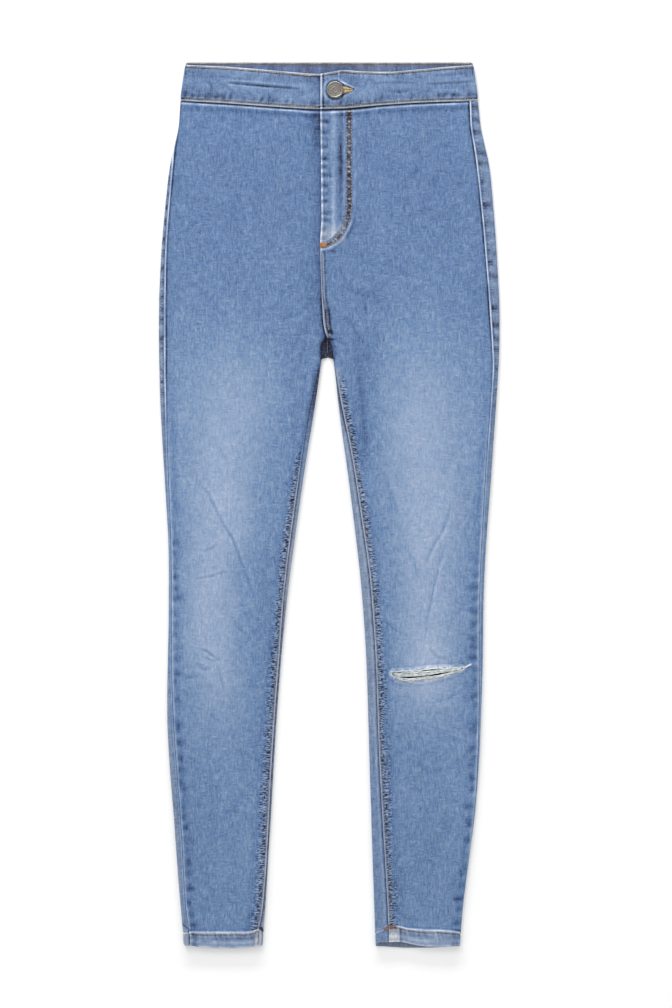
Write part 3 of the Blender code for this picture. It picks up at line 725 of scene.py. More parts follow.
# %% [markdown]
# ## Waist seam and hems of the fronts
# The cloth ropes across both, because its grain is pulled askew as it is stitched. Under the band it has
# a painted shadow line and a rubbed one. At the hem it is turned up and doubled, so the stitching sinks in
# and the edges of the fold go pale, and shade is painted in the stitched groove. These rows of marks run
# across the leg and not along it.

# %% Ends of a front panel
SHIFT = 500.0  # marks are counted from nought up, so places across are shifted past it
PATCH_END = {"right": 4.0, "left": 13.5}  # how far the pale patch beside the inseam reaches in the hem


def front_waist(p):
    """The band's edge shades the cloth, which ropes a little below it."""
    x, seed = p.x, p.seed
    below = WAIST_SEAM_UP - p.up
    puckers = rungs(x + SHIFT, below, 15, 26, seed + 13, 0.4, 0.2) * smooth_step(below, 2, 7)
    by_fly = smooth_step(np.abs(x - 8), 52, 30)
    wear_and_shade = 0.42 * bell(below, 2.6 + by_fly, 1.05) * broken(x, 12, seed + 12, 0.45) - 0.09 * puckers
    # painted shadow of the band's edge, right under the seam
    wear_and_shade -= 0.46 * bell(below, 0.5, 0.95) * broken(x, 25, seed + 21, 0.6)
    wear_and_shade -= 0.13 * bell(below, 7.5, 2.8) * broken(x, 18, seed + 32, 0.5)
    # more painted shadow under the band near the fly
    wear_and_shade -= 0.3 * by_fly * bell(below, 0.9, 1.2)
    if p.side == "left":
        wear_and_shade += 0.22 * bell(below, 4.8, 1.5) * smooth_step(x, 8, 0)
    return -0.3 * bell(below, 1.0, 1.6) - 0.2 * puckers, wear_and_shade, 0.15 * bell(below, 0, 2.0)


def front_hem(p):
    """A pale line under the stitching and roping below it, with painted shade in the stitched groove, above
    the hem and at its corners and seams.
    """
    x, up, seed = p.x, p.up, p.seed
    stitched = up - HEM_UP + 1.2
    turned = smooth_step(up, HEM_UP + 0.5, HEM_UP - 2.5)
    ropes = rungs(x + SHIFT, HEM_UP - up, 6.5, 16, seed + 15, 0.3, 0.2) * turned
    lights = rungs(x + SHIFT + 3.2, HEM_UP - up, 6.5, 16, seed + 15, 0.3, 0.2) * turned
    corner = bell(p.from_out, 0, 6) + bell(p.from_in, 0, 6)
    # a pale line, and painted shade in the stitched groove below it
    wear_and_shade = 0.44 * bell(stitched, 1.3, 1.35) * broken(x, 9, seed + 14, 0.75) - 0.28 * bell(stitched, -1.2, 0.8)
    # painted shade above the hem, deepest beside both seams
    wear_and_shade -= 0.16 * bell(stitched, 4.2, 1.4) + 0.34 * bell(stitched, 4.4, 1.7) * corner
    wear_and_shade += 0.06 * turned + 0.12 * lights - 0.16 * ropes + 0.3 * bell(up, 0.6, 1.5)
    levels = 0.16 * bell(up, 5.4, 1.6) - 0.16 * bell(up, 9.2, 1.8) - 0.1 * bell(up, 2.4, 1.0)
    wear_and_shade += turned * (levels * broken(x, 11, seed + 22, 0.1) + 0.07 * drift(x, up, 5, 5, seed + 23))
    end = PATCH_END[p.side]
    patch = turned * smooth_step(p.from_in, end, end - 2)
    wedge = turned * bell(p.from_in, end + 0.6, 1.1) * (1.0 if p.side == "left" else 0.4)
    wear_and_shade += patch * (0.14 + 0.1 * drift(x, up, 2.0, 16, seed + 33)) - 0.4 * wedge
    if p.side == "left":
        # painted shade round the crossing stitches
        wear_and_shade -= 0.3 * bell(x, 71, 8) * bell(stitched, 1.6, 3.2)
    else:
        # painted shade in the outseam's groove within the hem
        wear_and_shade -= 0.3 * turned * bell(p.from_out, 0.5, 1.2)
    height = 0.3 * lights - 0.5 * bell(stitched, -0.6, 1.1) - 0.3 * ropes
    return height, wear_and_shade, 0.5 * bell(stitched, 0, 2.5) + 0.6 * patch + 0.5 * wedge + 0.22 * turned


print("hems turned up by", HEM_UP, "mm")

# %% [markdown]
# ## The fly's stitching and the crotch seam
# Two rows of stitching run down beside the fly and curve in to the bartack. The thread has shrunk, so
# they lie in a channel, painted dark as shade and dotted where the cloth bulges between the stitches.
# Below it the crotch seam is felled: two lines with a flat strip between them. Distances to a drawn line
# place all of it.

# %% Lines of the fly
J_INNER, J_OUTER = 20.6, 25.8  # the two rows of stitching round the fly, across from the middle
J_GAP = (J_OUTER - J_INNER) / 2
J_TOP_UP, J_TURN_UP = 979.0, 866.0  # where the rows begin, and where they start to curve in
FLY_END = (-8.0, 822.5)  # where they end, at the bartack


def j_row(across):
    """One row of the fly's stitching, from the waist down and round to the bartack, as (across, up)."""
    down = [(across, up) for up in np.linspace(J_TOP_UP, J_TURN_UP, 30)]
    width, height = across - FLY_END[0], J_TURN_UP - (FLY_END[1] - (across - J_INNER) * 0.75)
    turn = np.linspace(0, math.pi / 2, 24)[1:]
    round_in = [(across - width * (1 - math.cos(a) ** 1.15), J_TURN_UP - height * math.sin(a)) for a in turn]
    return np.array(down + round_in)


def distance_to(path, x, up):
    """Shortest distance from each place to a line of points, and how far along it that is."""
    best, along = np.full(x.shape, 1e9), np.zeros(x.shape)
    gone = 0.0
    for a, b in zip(path, path[1:]):
        run = b - a
        t = np.clip(((x - a[0]) * run[0] + (up - a[1]) * run[1]) / (run @ run), 0, 1)
        distance = np.hypot(x - a[0] - t * run[0], up - a[1] - t * run[1])
        closer = distance < best
        best = np.where(closer, distance, best)
        along = np.where(closer, gone + t * np.linalg.norm(run), along)
        gone += np.linalg.norm(run)
    return best, along


def second_row(up):
    """How far the crotch seam's second row lies from the free edge."""
    return (2.9 + 3.2 * smooth_step(up, 762, 740)) * smooth_step(up, CROSSING_UP - 3, CROSSING_UP + 3)


print("the fly's stitching ends at", j_row(J_INNER)[-1].round(1))

# %% Relief of the fly
FACING_SHADE = ((830, 880, 905, 940, 955, 985), (0.0, 0.35, 0.85, 0.9, 0.3, 0.1))  # heights, and how dark the trough's painted shade is there


def fly_rows(x, up, away, along):
    """Both rows in their dotted channel, painted dark as shade and paler where it curves in, with a painted
    highlight along the outside of the curve and a painted shadow beyond it.
    """
    stitched = smooth_step(away, J_GAP + 1.5, J_GAP - 0.4)
    dots = rungs(along, 0 * away, 7.3, 9, 5, 0, 0.13) * bell(away, 0, 1.5)
    beside = bell(away, J_GAP + 3.2, 1.5) * broken(along, 9, 6, 0.2)
    below, _ = distance_to(j_row(J_OUTER + 2.4), x, up)
    turned_in = smooth_step(up, 862, 846)
    # the channel is painted dark as shade, less so where the rows curve in
    channel = 0.38 - 0.22 * turned_in
    wear_and_shade = stitched * (0.74 * dots - channel + 0.12 * drift(x, up, 2, 3, 14)) + 0.13 * beside
    # outside the curve: a painted highlight, and a painted shadow beyond it
    rim = 0.36 * bell(below, 0, 1.1) * broken(along, 7, 16, 0.6) - 0.18 * bell(below, 3.2, 1.5)
    wear_and_shade += turned_in * rim
    return 0.3 * stitched * (2 * dots - 1), wear_and_shade, 0.9 * stitched


def fly_facing(x, up, out, away):
    """The cloth between the free edge and the rows: puckered, with a pale ridge and a trough painted dark as
    shade.
    """
    facing = smooth_step(up, FLY_BOTTOM_UP, FLY_BOTTOM_UP + 12) * smooth_step(away, J_GAP + 1, J_GAP + 3)
    facing *= smooth_step(x, J_INNER, J_INNER - 3)
    ridge = bell(x, 5.0, 2.8) * broken(up, 30, 8, 0.4)
    trough = bell(x, 13.4, 2.8) * np.interp(up, *FACING_SHADE)
    marks = rungs(up, out, 10.5, 15, 10, 0, 0.24, 0.8)
    lights = rungs(up + 5.2, out, 10.5, 15, 10, 0, 0.22, 0.8)
    bottom = smooth_step(up, 850, 834)
    # the trough is painted dark as shade
    wear_and_shade = facing * (0.25 * ridge - 0.34 * trough - 0.26 * marks + 0.2 * lights - 0.02 + 0.12 * bottom)
    height = 0.3 * facing * (ridge - trough - marks + lights)
    return height, wear_and_shade, (0.1 + 0.5 * bottom) * facing


print("the trough at 930 mm up is", round(float(np.interp(930, *FACING_SHADE)), 2), "of its darkest")

# %% Relief of the crotch seam


def crotch_seam(x, up, out):
    """The felled seam below the fly, whose two lines part lower down, with painted shade in the groove beside
    its second line, and the knot at the crossing.
    """
    fell = smooth_step(up, FLY_BOTTOM_UP - 2, FLY_BOTTOM_UP - 8) * smooth_step(up, 704, 720)
    row, parting = second_row(up), smooth_step(up, 765, 745)
    between = bell(out, row / 2 + 0.2, 0.85) * broken(up, 6, 13, 0.3)
    # a pale second line that fades as they part, and painted shade in the sunk groove beside it
    lines = 0.3 * (1 - parting) * bell(out, row, 0.9) - 0.26 * bell(out, row + 1.9, 1.1)
    wear_and_shade = fell * (lines - 0.46 * between)
    strip = smooth_step(out, 3, 4.2) * smooth_step(out, row + 3, row + 1)
    wear_and_shade -= fell * parting * (0.12 * strip + 0.16 * bell(out, row + 1.2, 1.6))
    # the knot at the crossing: a pale spot, a dark one above it and a dark line below
    wear_and_shade += 0.5 * bell(np.hypot(x - 0.8, up - 716.0), 0, 1.5)
    wear_and_shade -= 0.4 * bell(np.hypot(x - 1.4, up - 720.5), 0, 1.9)
    wear_and_shade -= 0.5 * bell(up, 711.4, 1.1) * smooth_step(x, 10, 5)
    dull = 0.4 * fell * smooth_step(out, row + 3, row + 1)
    return -0.35 * fell * bell(out, row + 2.0, 1.1), wear_and_shade, dull


print("the crotch seam's rows are", round(float(second_row(735.0)), 1), "mm apart low down")

# %% The middle of a front panel


def fly_relief(x, up, out):
    """Height, wear with painted shade, and dullness beside the free edge of the lapping front. Out is the
    distance from it.
    """
    near = (x < 44) & (up > 700)
    found = [np.zeros(x.shape) for _ in range(3)]
    x, up, out = x[near], up[near], out[near]
    away, along = distance_to(j_row((J_INNER + J_OUTER) / 2), x, up)
    parts = fly_rows(x, up, away, along), fly_facing(x, up, out, away), crotch_seam(x, up, out)
    for values, part in zip(found, zip(*parts)):
        values[near] = sum(part)
    # painted shadows under the waistband and under the bartack
    under_band = 0.13 * bell(x, 18, 9) * smooth_step(up, 968, 976)
    under_bartack = 0.32 * bell(x, 4.5, 4) * bell(up, 814.6, 1.5)
    found[1][near] -= under_band + under_bartack
    return found


def front_middle(p):
    """The rubbed edge of the lapping front, and the shaded cloth beside it."""
    x, up = p.x, p.up
    hips = smooth_step(up, ARCH_UP - 1, ARCH_UP + 4)
    out = SIDES[p.side] * (x - centre_line(np.maximum(up, HIP_START)))
    if p.side == "left":
        height, wear_and_shade, dull = fly_relief(x, p.placed, out)
        edge = bell(out, 0.5, 1.4) * broken(up, 12, p.seed + 18, 0.8) * smooth_step(up, 708, 716)
        rub = 0.34 + 0.16 * smooth_step(up, 790, 830)
        wear_and_shade += hips * (rub * edge - 0.1 * bell(out, 3.4, 1.0))
        return height + hips * 0.25 * bell(out, 0.6, 0.8), wear_and_shade, dull
    deep = 0.06 + 0.1 * smooth_step(up, 950, 978) + 0.3 * smooth_step(up, 790, 740)
    shade = deep * bell(out, 0, 2.2) + 0.07 * bell(out, 0, 12) + 0.25 * bell(up, 708, 9) * bell(out, 0, 4)
    shade += 0.12 * bell(out, 4, 8) * smooth_step(up, 925, 975) + 0.04 * rungs(up, out, 13, 14, p.seed + 19)
    return 0 * x, -hips * shade, 0 * x


print("the rows of the fly are", round(2 * J_GAP, 1), "mm apart")

# %% [markdown]
# ## The ripped knee
# A slash across the left knee has gaped and frayed. Its two edges are drawn from short tables, and the
# cloth beside them is combed pale by the pulled threads. The hole itself is cut later, along the same
# tables, because a cut is cleaner in a finished shell. Then all effects are added up to build the fronts.

# %% Beside the rip
RIP_ACROSS = (73.5, 75, 78, 82, 88, 95, 104, 114, 124, 132, 139, 145, 150, 153.5, 156)
RIP_LOWER = (319.6, 318.0, 315.6, 313.6, 312.6, 312.2, 312.9, 314.4)
RIP_LOWER += (316.2, 318.0, 319.8, 321.6, 323.2, 324.8, 326.2)
RIP_UPPER = (322.0, 322.6, 323.0, 323.2, 323.6, 323.8, 324.8, 325.8)
RIP_UPPER += (326.8, 327.4, 327.6, 327.4, 327.3, 327.4, 327.6)


def front_rip(p):
    """Threads pulled pale round the rip."""
    height, wear_and_shade, dull = (np.zeros(p.x.shape) for _ in range(3))
    near = (p.side == "left") & (p.x > 60) & (p.x < 176) & (p.up > 300) & (p.up < 342)
    for edge in (RIP_LOWER, RIP_UPPER):
        away, along = distance_to(np.stack([RIP_ACROSS, edge], 1), p.x[near], p.placed[near])
        thready = bell(away, 0.9, 1.9) * broken(along, 3, 23, 0.35)
        wear_and_shade[near] += 0.24 * thready + 0.14 * bell(away, 3.4, 1.2) * broken(along, 4, 24, 0)
        wear_and_shade[near] -= 0.14 * bell(away, 2.2, 0.7) * broken(along, 6, 25, 0) + 0.07 * bell(away, 5.4, 1.4)
        height[near] += 0.3 * thready
        dull[near] += 0.4 * thready
    return height, wear_and_shade, dull


print("the rip gapes", round(max(a - b for a, b in zip(RIP_UPPER, RIP_LOWER)), 1), "mm")

# %% Build the fronts
OUTER_STEPS = np.array([0, 0.15, 0.35, 0.6, 0.9, 1.3, 1.8, 2.4, 3.1, 4, 5, 6.2, 7.5, 9, 10.5, 12.5, 15, 18])
INNER_STEPS = {
    "right": np.array([0, 0.15, 0.35, 0.6, 0.9, 1.3, 1.8, 2.4, 3.2, 4, 5, 6, 7, 8.2, 9.5, 11, 13, 16, 20]),
    "left": np.concatenate([[0, 0.15, 0.35, 0.6, 0.9, 1.3, 1.8, 2.5, 3.3], np.arange(4.2, 39, 1.15), [41]]),
}
STRETCH = {"right": 0.0, "left": 0.4}  # the fly's fine columns spread out in the leg below it
MIDDLE_COLUMNS = {"right": 62, "left": 42}
FRONT_EFFECTS = (front_outseam, front_inseam, front_waist, front_hem, front_middle, front_rip)


def front_panel(side):
    """A front: its creases and fades, what every effect adds, and its broad form."""
    seed = 100 if side == "right" else 200
    steps = INNER_STEPS[side][::-1]
    steps = steps + np.maximum(steps - 9, 0) * STRETCH[side] * smooth_step(ROWS, 700, 610)
    p = unroll(side, 1, OUTER_STEPS, steps, MIDDLE_COLUMNS[side], seed)
    height, wear_and_shade = creases(p.x, p.placed, CREASES)
    height += 0.1 * drift(p.x, p.up, 26, 45, seed + 5) + 0.05 * drift(p.x, p.up, 9, 16, seed + 6)
    wear_and_shade += 0.495 - 0.055 * smooth_step(p.up, 640, 760) + fade(side, p.x, p.up) + clouds(p.x, p.up, seed)
    height, finish = add_up(height, wear_and_shade, FRONT_EFFECTS, p)
    broad = settle(side, p.x, p.up) + p.hip * fly_step(side, p.x, p.up)
    curl = CURL * smooth_step(p.up, 682, 690) * smooth_step(p.up, CROSSING_UP + 6, CROSSING_UP - 8)
    broad -= curl * (1 - np.minimum(p.from_in, 10) / 10) ** 2
    borders = border(np.minimum(p.from_out, p.from_in)) * smooth_step(p.up, HEM_UP, HEM_UP + 3)
    if side == "right":
        beyond_fly = 1 - smooth_step(p.up, CROSSING_UP, CROSSING_UP + 12) * smooth_step(p.x, -24, -16)
        borders, height = borders * beyond_fly, height * beyond_fly
    return panel_shell("cloth_front_" + side, p, broad, borders, p.top * height, finish)


cloth = {"front_" + side: front_panel(side) for side in SIDES}

# %% [markdown]
# ## The back panels
# They lie on the floor and wrap round both folds, so what shows of them is a strip along each edge. The
# strip outside the outseam carries the pale ridge and ropes in short dark bars, most on the hips. The
# back also lines the shaded hollow at the crotch. The underside rests flat and stays plain.

# %% Seams of a back panel


def back_outseam(p):
    """The pale ridge, and the dark bars of the strip beside it."""
    up, from_out, seed = p.up, p.from_out, p.seed
    ridge = bell(from_out, 0.8, 0.95) * broken(up, 14, seed + 2, 0.6) * (0.36 + 0.64 * p.high)
    beside = smooth_step(from_out, 1.6, 2.8)
    on_hip = (0.15 + 0.85 * smooth_step(up, 600, 720)) * beside
    bars = rungs(up, from_out, 17, 22, seed + 3, -0.1, 0.2) * on_hip
    lights = rungs(up + 8.5, from_out, 17, 22, seed + 3, -0.1, 0.14) * on_hip
    fine = rungs(up, from_out, 4.2, 12, seed + 4, 0, 0.26) * beside * bell(up, 848, 26)
    wear_and_shade = 0.5 * ridge - 0.12 * bell(from_out, 3.0, 1.0) * p.high + 0.12 * lights - 0.3 * bars - 0.18 * fine
    strip = smooth_step(from_out, 1.8, 3) * smooth_step(from_out, 9, 5)
    p.ticks = 2.0 * strip * p.high * broken(up, 20, seed + 12, 0.2)
    grey = 0.45 if p.side == "right" else 0.3
    dull = grey * smooth_step(from_out, 2, 4) * smooth_step(from_out, 20, 8)
    return 0.4 * ridge - 0.3 * bars - 0.2 * fine, wear_and_shade, dull


def back_inseam(p):
    """The strip beside the inseam, painted dark as shade in its groove and towards the crotch. On the right
    it ends in a pale corner with a dark wedge.
    """
    up, from_in = p.up, p.from_in
    in_hem = smooth_step(up, HEM_UP + 3, HEM_UP)
    groove = bell(from_in, 0.7, 1.0) * p.leg * smooth_step(up, *SEAM_SHOWS[p.side]) * (1 - 0.6 * in_hem)
    # the groove is painted dark as shade
    wear_and_shade = 0.12 * bell(from_in, 3.2, 1.4) * smooth_step(up, 640, 600) - 0.22 * groove
    if p.side == "right":
        strip = smooth_step(from_in, 14, 8) * p.leg
        corner = bell(from_in, 4.4 - 0.22 * np.clip(up - 9, 0, 12), 1.3)
        wear_and_shade += strip * (0.2 * in_hem - 0.5 * corner * smooth_step(up, HEM_UP + 7, HEM_UP + 4))
        wear_and_shade -= 0.5 * bell(from_in, 2.6, 1.7) * bell(up, HEM_UP + 0.5, 2.6) + 0.04 * strip * (1 - in_hem)
        # painted shade on the strip towards the crotch, where it turns away under the fold
        wear_and_shade -= 0.34 * p.leg * smooth_step(up, 540, 690) * bell(from_in, 0, 12)
        grey = 0.75 - 0.55 * smooth_step(up, 430, 590)
    else:
        # painted shade on the strip towards the crotch
        wear_and_shade -= 0.17 * p.leg * smooth_step(up, 575, 645) * bell(from_in, 0, 12)
        grey = 0.45 - 0.3 * smooth_step(up, 320, 180)
    return -0.3 * groove, wear_and_shade, grey * smooth_step(from_in, 20, 14) * p.leg


print("the strips beside the inseams begin", [ups[0] for ups in SEAM_SHOWS.values()], "mm up")

# %% Hem and hollow of a back panel
HOLLOW_FROM, HOLLOW_TO = (684, 689), (728, 714)  # where the hollow's painted shade begins, and where it ends under the seam


def back_hem(p):
    """The hem's stitching, with the folded corner of the right leg's outseam and a painted shadow slanting
    above that corner.
    """
    up, from_out = p.up, p.from_out
    stitched = up - HEM_UP + 1.2
    wear_and_shade = 0.4 * bell(stitched, 0.6, 1.1) - 0.22 * bell(stitched, 2.8, 1.1) + 0.2 * bell(up, 0.4, 1.1)
    block = smooth_step(up, HEM_UP + 4, HEM_UP + 2) * smooth_step(from_out, 16, 12) * (p.side == "right")
    wear_and_shade += block * (0.12 - 0.44 * bell(from_out, 0.4, 1.2) - 0.1 * bell(from_out, 4.5, 1.0))
    if p.side == "right":
        # a painted shadow slanting up from the folded corner
        wear_and_shade -= 0.42 * bell(up - HEM_UP - 5.2 - 1.1 * from_out, 0, 1.3) * smooth_step(from_out, 10, 6)
    return -0.4 * bell(stitched, 0.2, 1.1), wear_and_shade, 0.4 * block


def back_hollow(p):
    """The hollow at the crotch, painted dark as shade, with one paler fold in it, and the greyer underside.
    """
    up, from_in = p.up, p.from_in
    hollow = smooth_step(up, *HOLLOW_FROM) * smooth_step(up, *HOLLOW_TO) * smooth_step(from_in, 24, 16)
    darkest = 0.54 if p.side == "right" else 0.36
    fold = 0.2 * bell(from_in, 3.4 + 1.6 * np.sin(up / 4), 1.3) + 0.2 * bell(from_in, 0.3, 0.7)
    # the hollow's painted shade, darker on the right
    wear_and_shade = hollow * (fold - darkest - 0.1 * drift(p.x, up, 3, 6, p.seed + 5))
    under = smooth_step(p.rise, 0.5, 0.1) * smooth_step(from_in, 90, FAR)
    return 0 * up, wear_and_shade, 0.7 * under + 0.5 * hollow


print("the hollow is", HOLLOW_TO[0] - HOLLOW_FROM[0], "mm long")

# %% Build the backs
TURN_STEPS = np.array(
    [0, 0.15, 0.35, 0.6, 0.9, 1.3, 1.8, 2.4, 3.1, 3.9, 4.7, 5.5, 6.3, 7.1, 8, 9, 10, 11]
    + [12.2, 13.4, 14.6, 15.8, 17, 18.4, 20, 22]
)
UNDER_COLUMNS = 7


def back_panel(side):
    """A back, whose relief fades out where it turns under, and which is painted darker as shade where it
    turns away from the top.
    """
    seed = 300 if side == "right" else 400
    p = unroll(side, -1, TURN_STEPS, TURN_STEPS[::-1], UNDER_COLUMNS, seed)
    # the sides that turn away from the top get a little painted shade
    wear_and_shade = 0.46 + clouds(p.x, p.up, seed) - 0.06 * smooth_step(p.rise, 0.75, 0.1)
    height = 0.06 * drift(p.x, p.up, 9, 16, seed + 1)
    height, finish = add_up(height, wear_and_shade, (back_outseam, back_inseam, back_hem, back_hollow), p)
    borders = border(np.minimum(p.from_out, p.from_in)) * smooth_step(p.up, HEM_UP, HEM_UP + 3)
    shown = smooth_step(p.rise, -0.75, 0.2)
    return panel_shell("cloth_back_" + side, p, settle(side, p.x, p.up), borders, shown * height, finish)


for side in SIDES:
    cloth["back_" + side] = back_panel(side)

# %% [markdown]
# ## The waistband
# It is a doubled strip, so it is thick and puffy between its two rows of stitching. The wearer's left
# half laps over the right one at the middle, and its folded edges are rubbed nearly white. Behind it
# shows the inner face of the back band. Its edges are measured from the solids, as before.

# %% Measure the waistband
BAND_WALL, BAND_HALF = 1.8, 2.6
BAND_TURN = BAND_HALF - BAND_WALL / 2  # radius of the fold's middle
BAND_UNDER_TOP, BAND_OVER_TOP = 3.9, 6.0
BAND_LOW = WAIST_SEAM_UP + SEAM_GAP / 2
BAND_MEASURED, BAND_FLAT = 162.0, 168.0  # how far out the front's edges are read, and how far it lies flat
OVERLAP_END, UNDERLAP_END = -10.2, 32.0
SIDE_UPS = np.arange(992.0, 1034.0, 2.0)
BAND_SIDE = curve(SIDE_UPS, reach("waistband_back", 1, SIDE_UPS)[1], 1.0)


def band_edges(side, outward):
    xs = np.arange(*sorted((outward * BAND_MEASURED, -outward * 8.0)), 2.0)
    low, high = reach("waistband_front_" + side, 0, xs)
    return curve(xs, low, 1.5), curve(xs, high, 1.5)


BAND = {side: band_edges(side, outward) for side, outward in SIDES.items()}


def band_level(side, x):
    """Upper face of the front band, pressed down to the underlap or lifted to the overlap."""
    flat = 2 * BAND_HALF
    if side == "right":
        return flat + (BAND_UNDER_TOP - flat) * smooth_step(x, -34, OVERLAP_END - 2)
    return flat + (BAND_OVER_TOP - flat) * (1 - smooth_step(x, 34, 60))


print("waistband", round(float(2 * BAND_SIDE(1010)), 1), "mm across")

# %% Finish of the front band
BUTTON_AT = (6.8, 1002.4)
KEYHOLE_EDGE = np.array([(13.5, 1009.5), (18.5, 1007.5), (28.4, 1003.2), (18.5, 998.2), (13.0, 995.2)])
TACK_FOLD = np.array([(11.2, 1024.0), (11.2, 1013.5), (27.6, 1005.6)])  # a pale fold above the buttonhole
BAND_CREASES = (
    # points (across, up), half width, depth
    (((-120, 1011), (-106, 1010), (-84, 1008), (-62, 1006), (-34, 1003.4)), 1.4, 1.7),
    (((-132, 1018), (-112, 1015), (-90, 1014)), 1.6, 0.3),
    (((-146, 1014), (-138, 1008), (-133, 1000)), 2.2, 0.6),
    (((-122, 1008), (-114, 1002), (-108, 996)), 2.0, 0.6),
    (((-162, 1006), (-156, 1001), (-150, 1000)), 2.2, 0.6),
    (((-98, 1003), (-93, 998), (-90, 994)), 1.8, 0.7),
    (((44, 1009), (72, 1011), (102, 1010)), 1.5, 0.5),
    (((112, 1008.5), (134, 1010), (158, 1011.5), (170, 1012.5)), 1.4, 0.7),
    (((60, 1001), (84, 1000), (104, 1003)), 2.2, 0.45),
    (((80, 1001), (84, 997), (86, 992)), 1.9, 0.7),
    (((94, 999), (99, 996), (101, 992)), 1.8, 0.7),
    (((120, 1018), (142, 1020), (160, 1022)), 1.8, 0.4),
    (((122, 996), (138, 998), (156, 996)), 2.0, 0.4),
)


def band_finish(side, x, up, from_low, from_high, to_end, seed):
    """Fine height, wear with painted shade and light, and dullness of a front band, by how far each point is
    from its three edges.
    """
    height, wear_and_shade = creases(x, up, BAND_CREASES)
    wear_and_shade += 0.435 + clouds(x, up, seed)
    wear_and_shade += 0.07 * drift(x, up, 11, 6, seed + 8) + 0.05 * drift(x, up, 26, 9, seed + 10)
    # shallow dents, painted darker as shade in them
    dark_dents = bell(from_low, 7, 4) * smooth_step(drift(x, up, 10, 12, seed + 11), -0.1, 0.9)
    puffy = smooth_step(from_low, 2, 9) * smooth_step(from_high, 2, 8)
    above = smooth_step(from_low, 2.4, 4.4)
    bars = rungs(x + SHIFT, from_low, 8.0, 14, seed + 2, 0.3, 0.26) * above * broken(x, 22, seed + 4, 0.25)
    lights = rungs(x + SHIFT + 4, from_low, 8.0, 14, seed + 2, 0.3, 0.22) * above
    under = rungs(x + SHIFT, from_high, 6.5, 8, seed + 3, 0.2, 0.26) * smooth_step(from_high, 2.4, 3.8)
    height += 0.45 * puffy + 0.16 * drift(x, up, 20, 9, seed + 1)
    height += 0.2 * lights - 0.3 * bars - 0.15 * under - 0.15 * dark_dents
    height -= 0.4 * bell(from_low, 2.6, 0.9) + 0.4 * bell(from_high, 2.8, 0.9)
    wear_and_shade += 0.12 * lights - 0.28 * bars - 0.14 * under - 0.15 * dark_dents
    # the lower edge is rubbed pale, and the stitched groove beside it painted dark as shade
    wear_and_shade += 0.44 * bell(from_low, 0.3, 1.0) * broken(x, 18, seed + 5, 0.8) - 0.36 * bell(from_low, 2.6, 0.9)
    wear_and_shade += 0.2 * bell(from_low, 4.4, 0.9) * broken(x, 14, seed + 9, 0.3)
    # the top edge is rubbed pale, and the stitched groove below it painted dark as shade
    wear_and_shade += 0.38 * bell(from_high, 0.7, 1.1) * broken(x, 14, seed + 6, 0.5) - 0.3 * bell(from_high, 3.2, 0.9)
    dull = 0.12 + 0.8 * bell(from_low, 2.2, 1.7) + 0.8 * bell(from_high, 2.4, 1.7)
    if side == "right":
        # the right half gets a painted shadow beside the lapping end of the left half
        return height, wear_and_shade - 0.16 * smooth_step(x, OVERLAP_END - 5, OVERLAP_END - 0.5), np.clip(dull, 0, 1)
    height += 0.15 * bell(to_end, 0.8, 1.0)
    wear_and_shade += 0.54 * bell(to_end, 0.3, 1.5) - 0.34 * bell(to_end, 3.1, 0.85) + 0.1 * bell(to_end, 6.5, 2)
    ridge, _ = distance_to(TACK_FOLD, x, up)
    arrow, _ = distance_to(KEYHOLE_EDGE, x, up)
    from_button = np.hypot(x - BUTTON_AT[0], up - BUTTON_AT[1])
    wear_and_shade += 0.26 * bell(ridge, 0, 0.8) - 0.1 * bell(ridge, 2.0, 1.0)
    # a painted shadow round the button's rim, and a paler ring outside it
    wear_and_shade += 0.2 * bell(from_button, 13.4, 1.3) - 0.3 * bell(from_button, 10.6, 1.3)
    # a painted highlight just off the keyhole's bound edge, and a dark line along the edge
    wear_and_shade += smooth_step(from_button, 10, 12) * (0.2 * bell(arrow, 2.2, 0.9) - 0.36 * bell(arrow, 0.4, 1.1))
    return height, wear_and_shade, np.clip(dull, 0, 1)


print(len(BAND_CREASES), "creases in the band")

# %% Fold the band round a side
BAND_RISE = 42.0  # its depth, for the places of its rows
BAND_ROWS = np.concatenate([EDGE_STEPS, (1.6, 2.1, 2.6, 3.1, 3.7), np.arange(4.6, 20.6, 1.2)])
BAND_SHARES = np.concatenate([BAND_ROWS, BAND_RISE - BAND_ROWS[::-1]])[:, None] / BAND_RISE


def band_fold(outward, fold, front_high):
    """The band where it turns round a side, as ring values and heights. Fold is how far round it lies."""
    top = (1 + np.cos(fold / BAND_TURN)) / 2
    high = front_high * top + LENGTH * (1 - top)
    up = BAND_LOW + (high - BAND_LOW) * BAND_SHARES
    return [*ring(outward * BAND_SIDE(up), outward, BAND_HALF, BAND_WALL, fold), up]


def band_points(parts):
    """Joins stretches of the band, each given as ring values and heights."""
    x, z, out, rise, up = (np.concatenate(group, axis=1) for group in zip(*parts))
    rows = (up[-1:] - up[:1]) * BAND_SHARES
    to_rim = np.minimum(rows, up[-1:] - up[:1] - rows)
    return SimpleNamespace(x=x, z=z, out=out, rise=rise, placed=up, to_rim=to_rim)


print(len(BAND_SHARES), "rows from the band's seam to its top")

# %% Build the front band


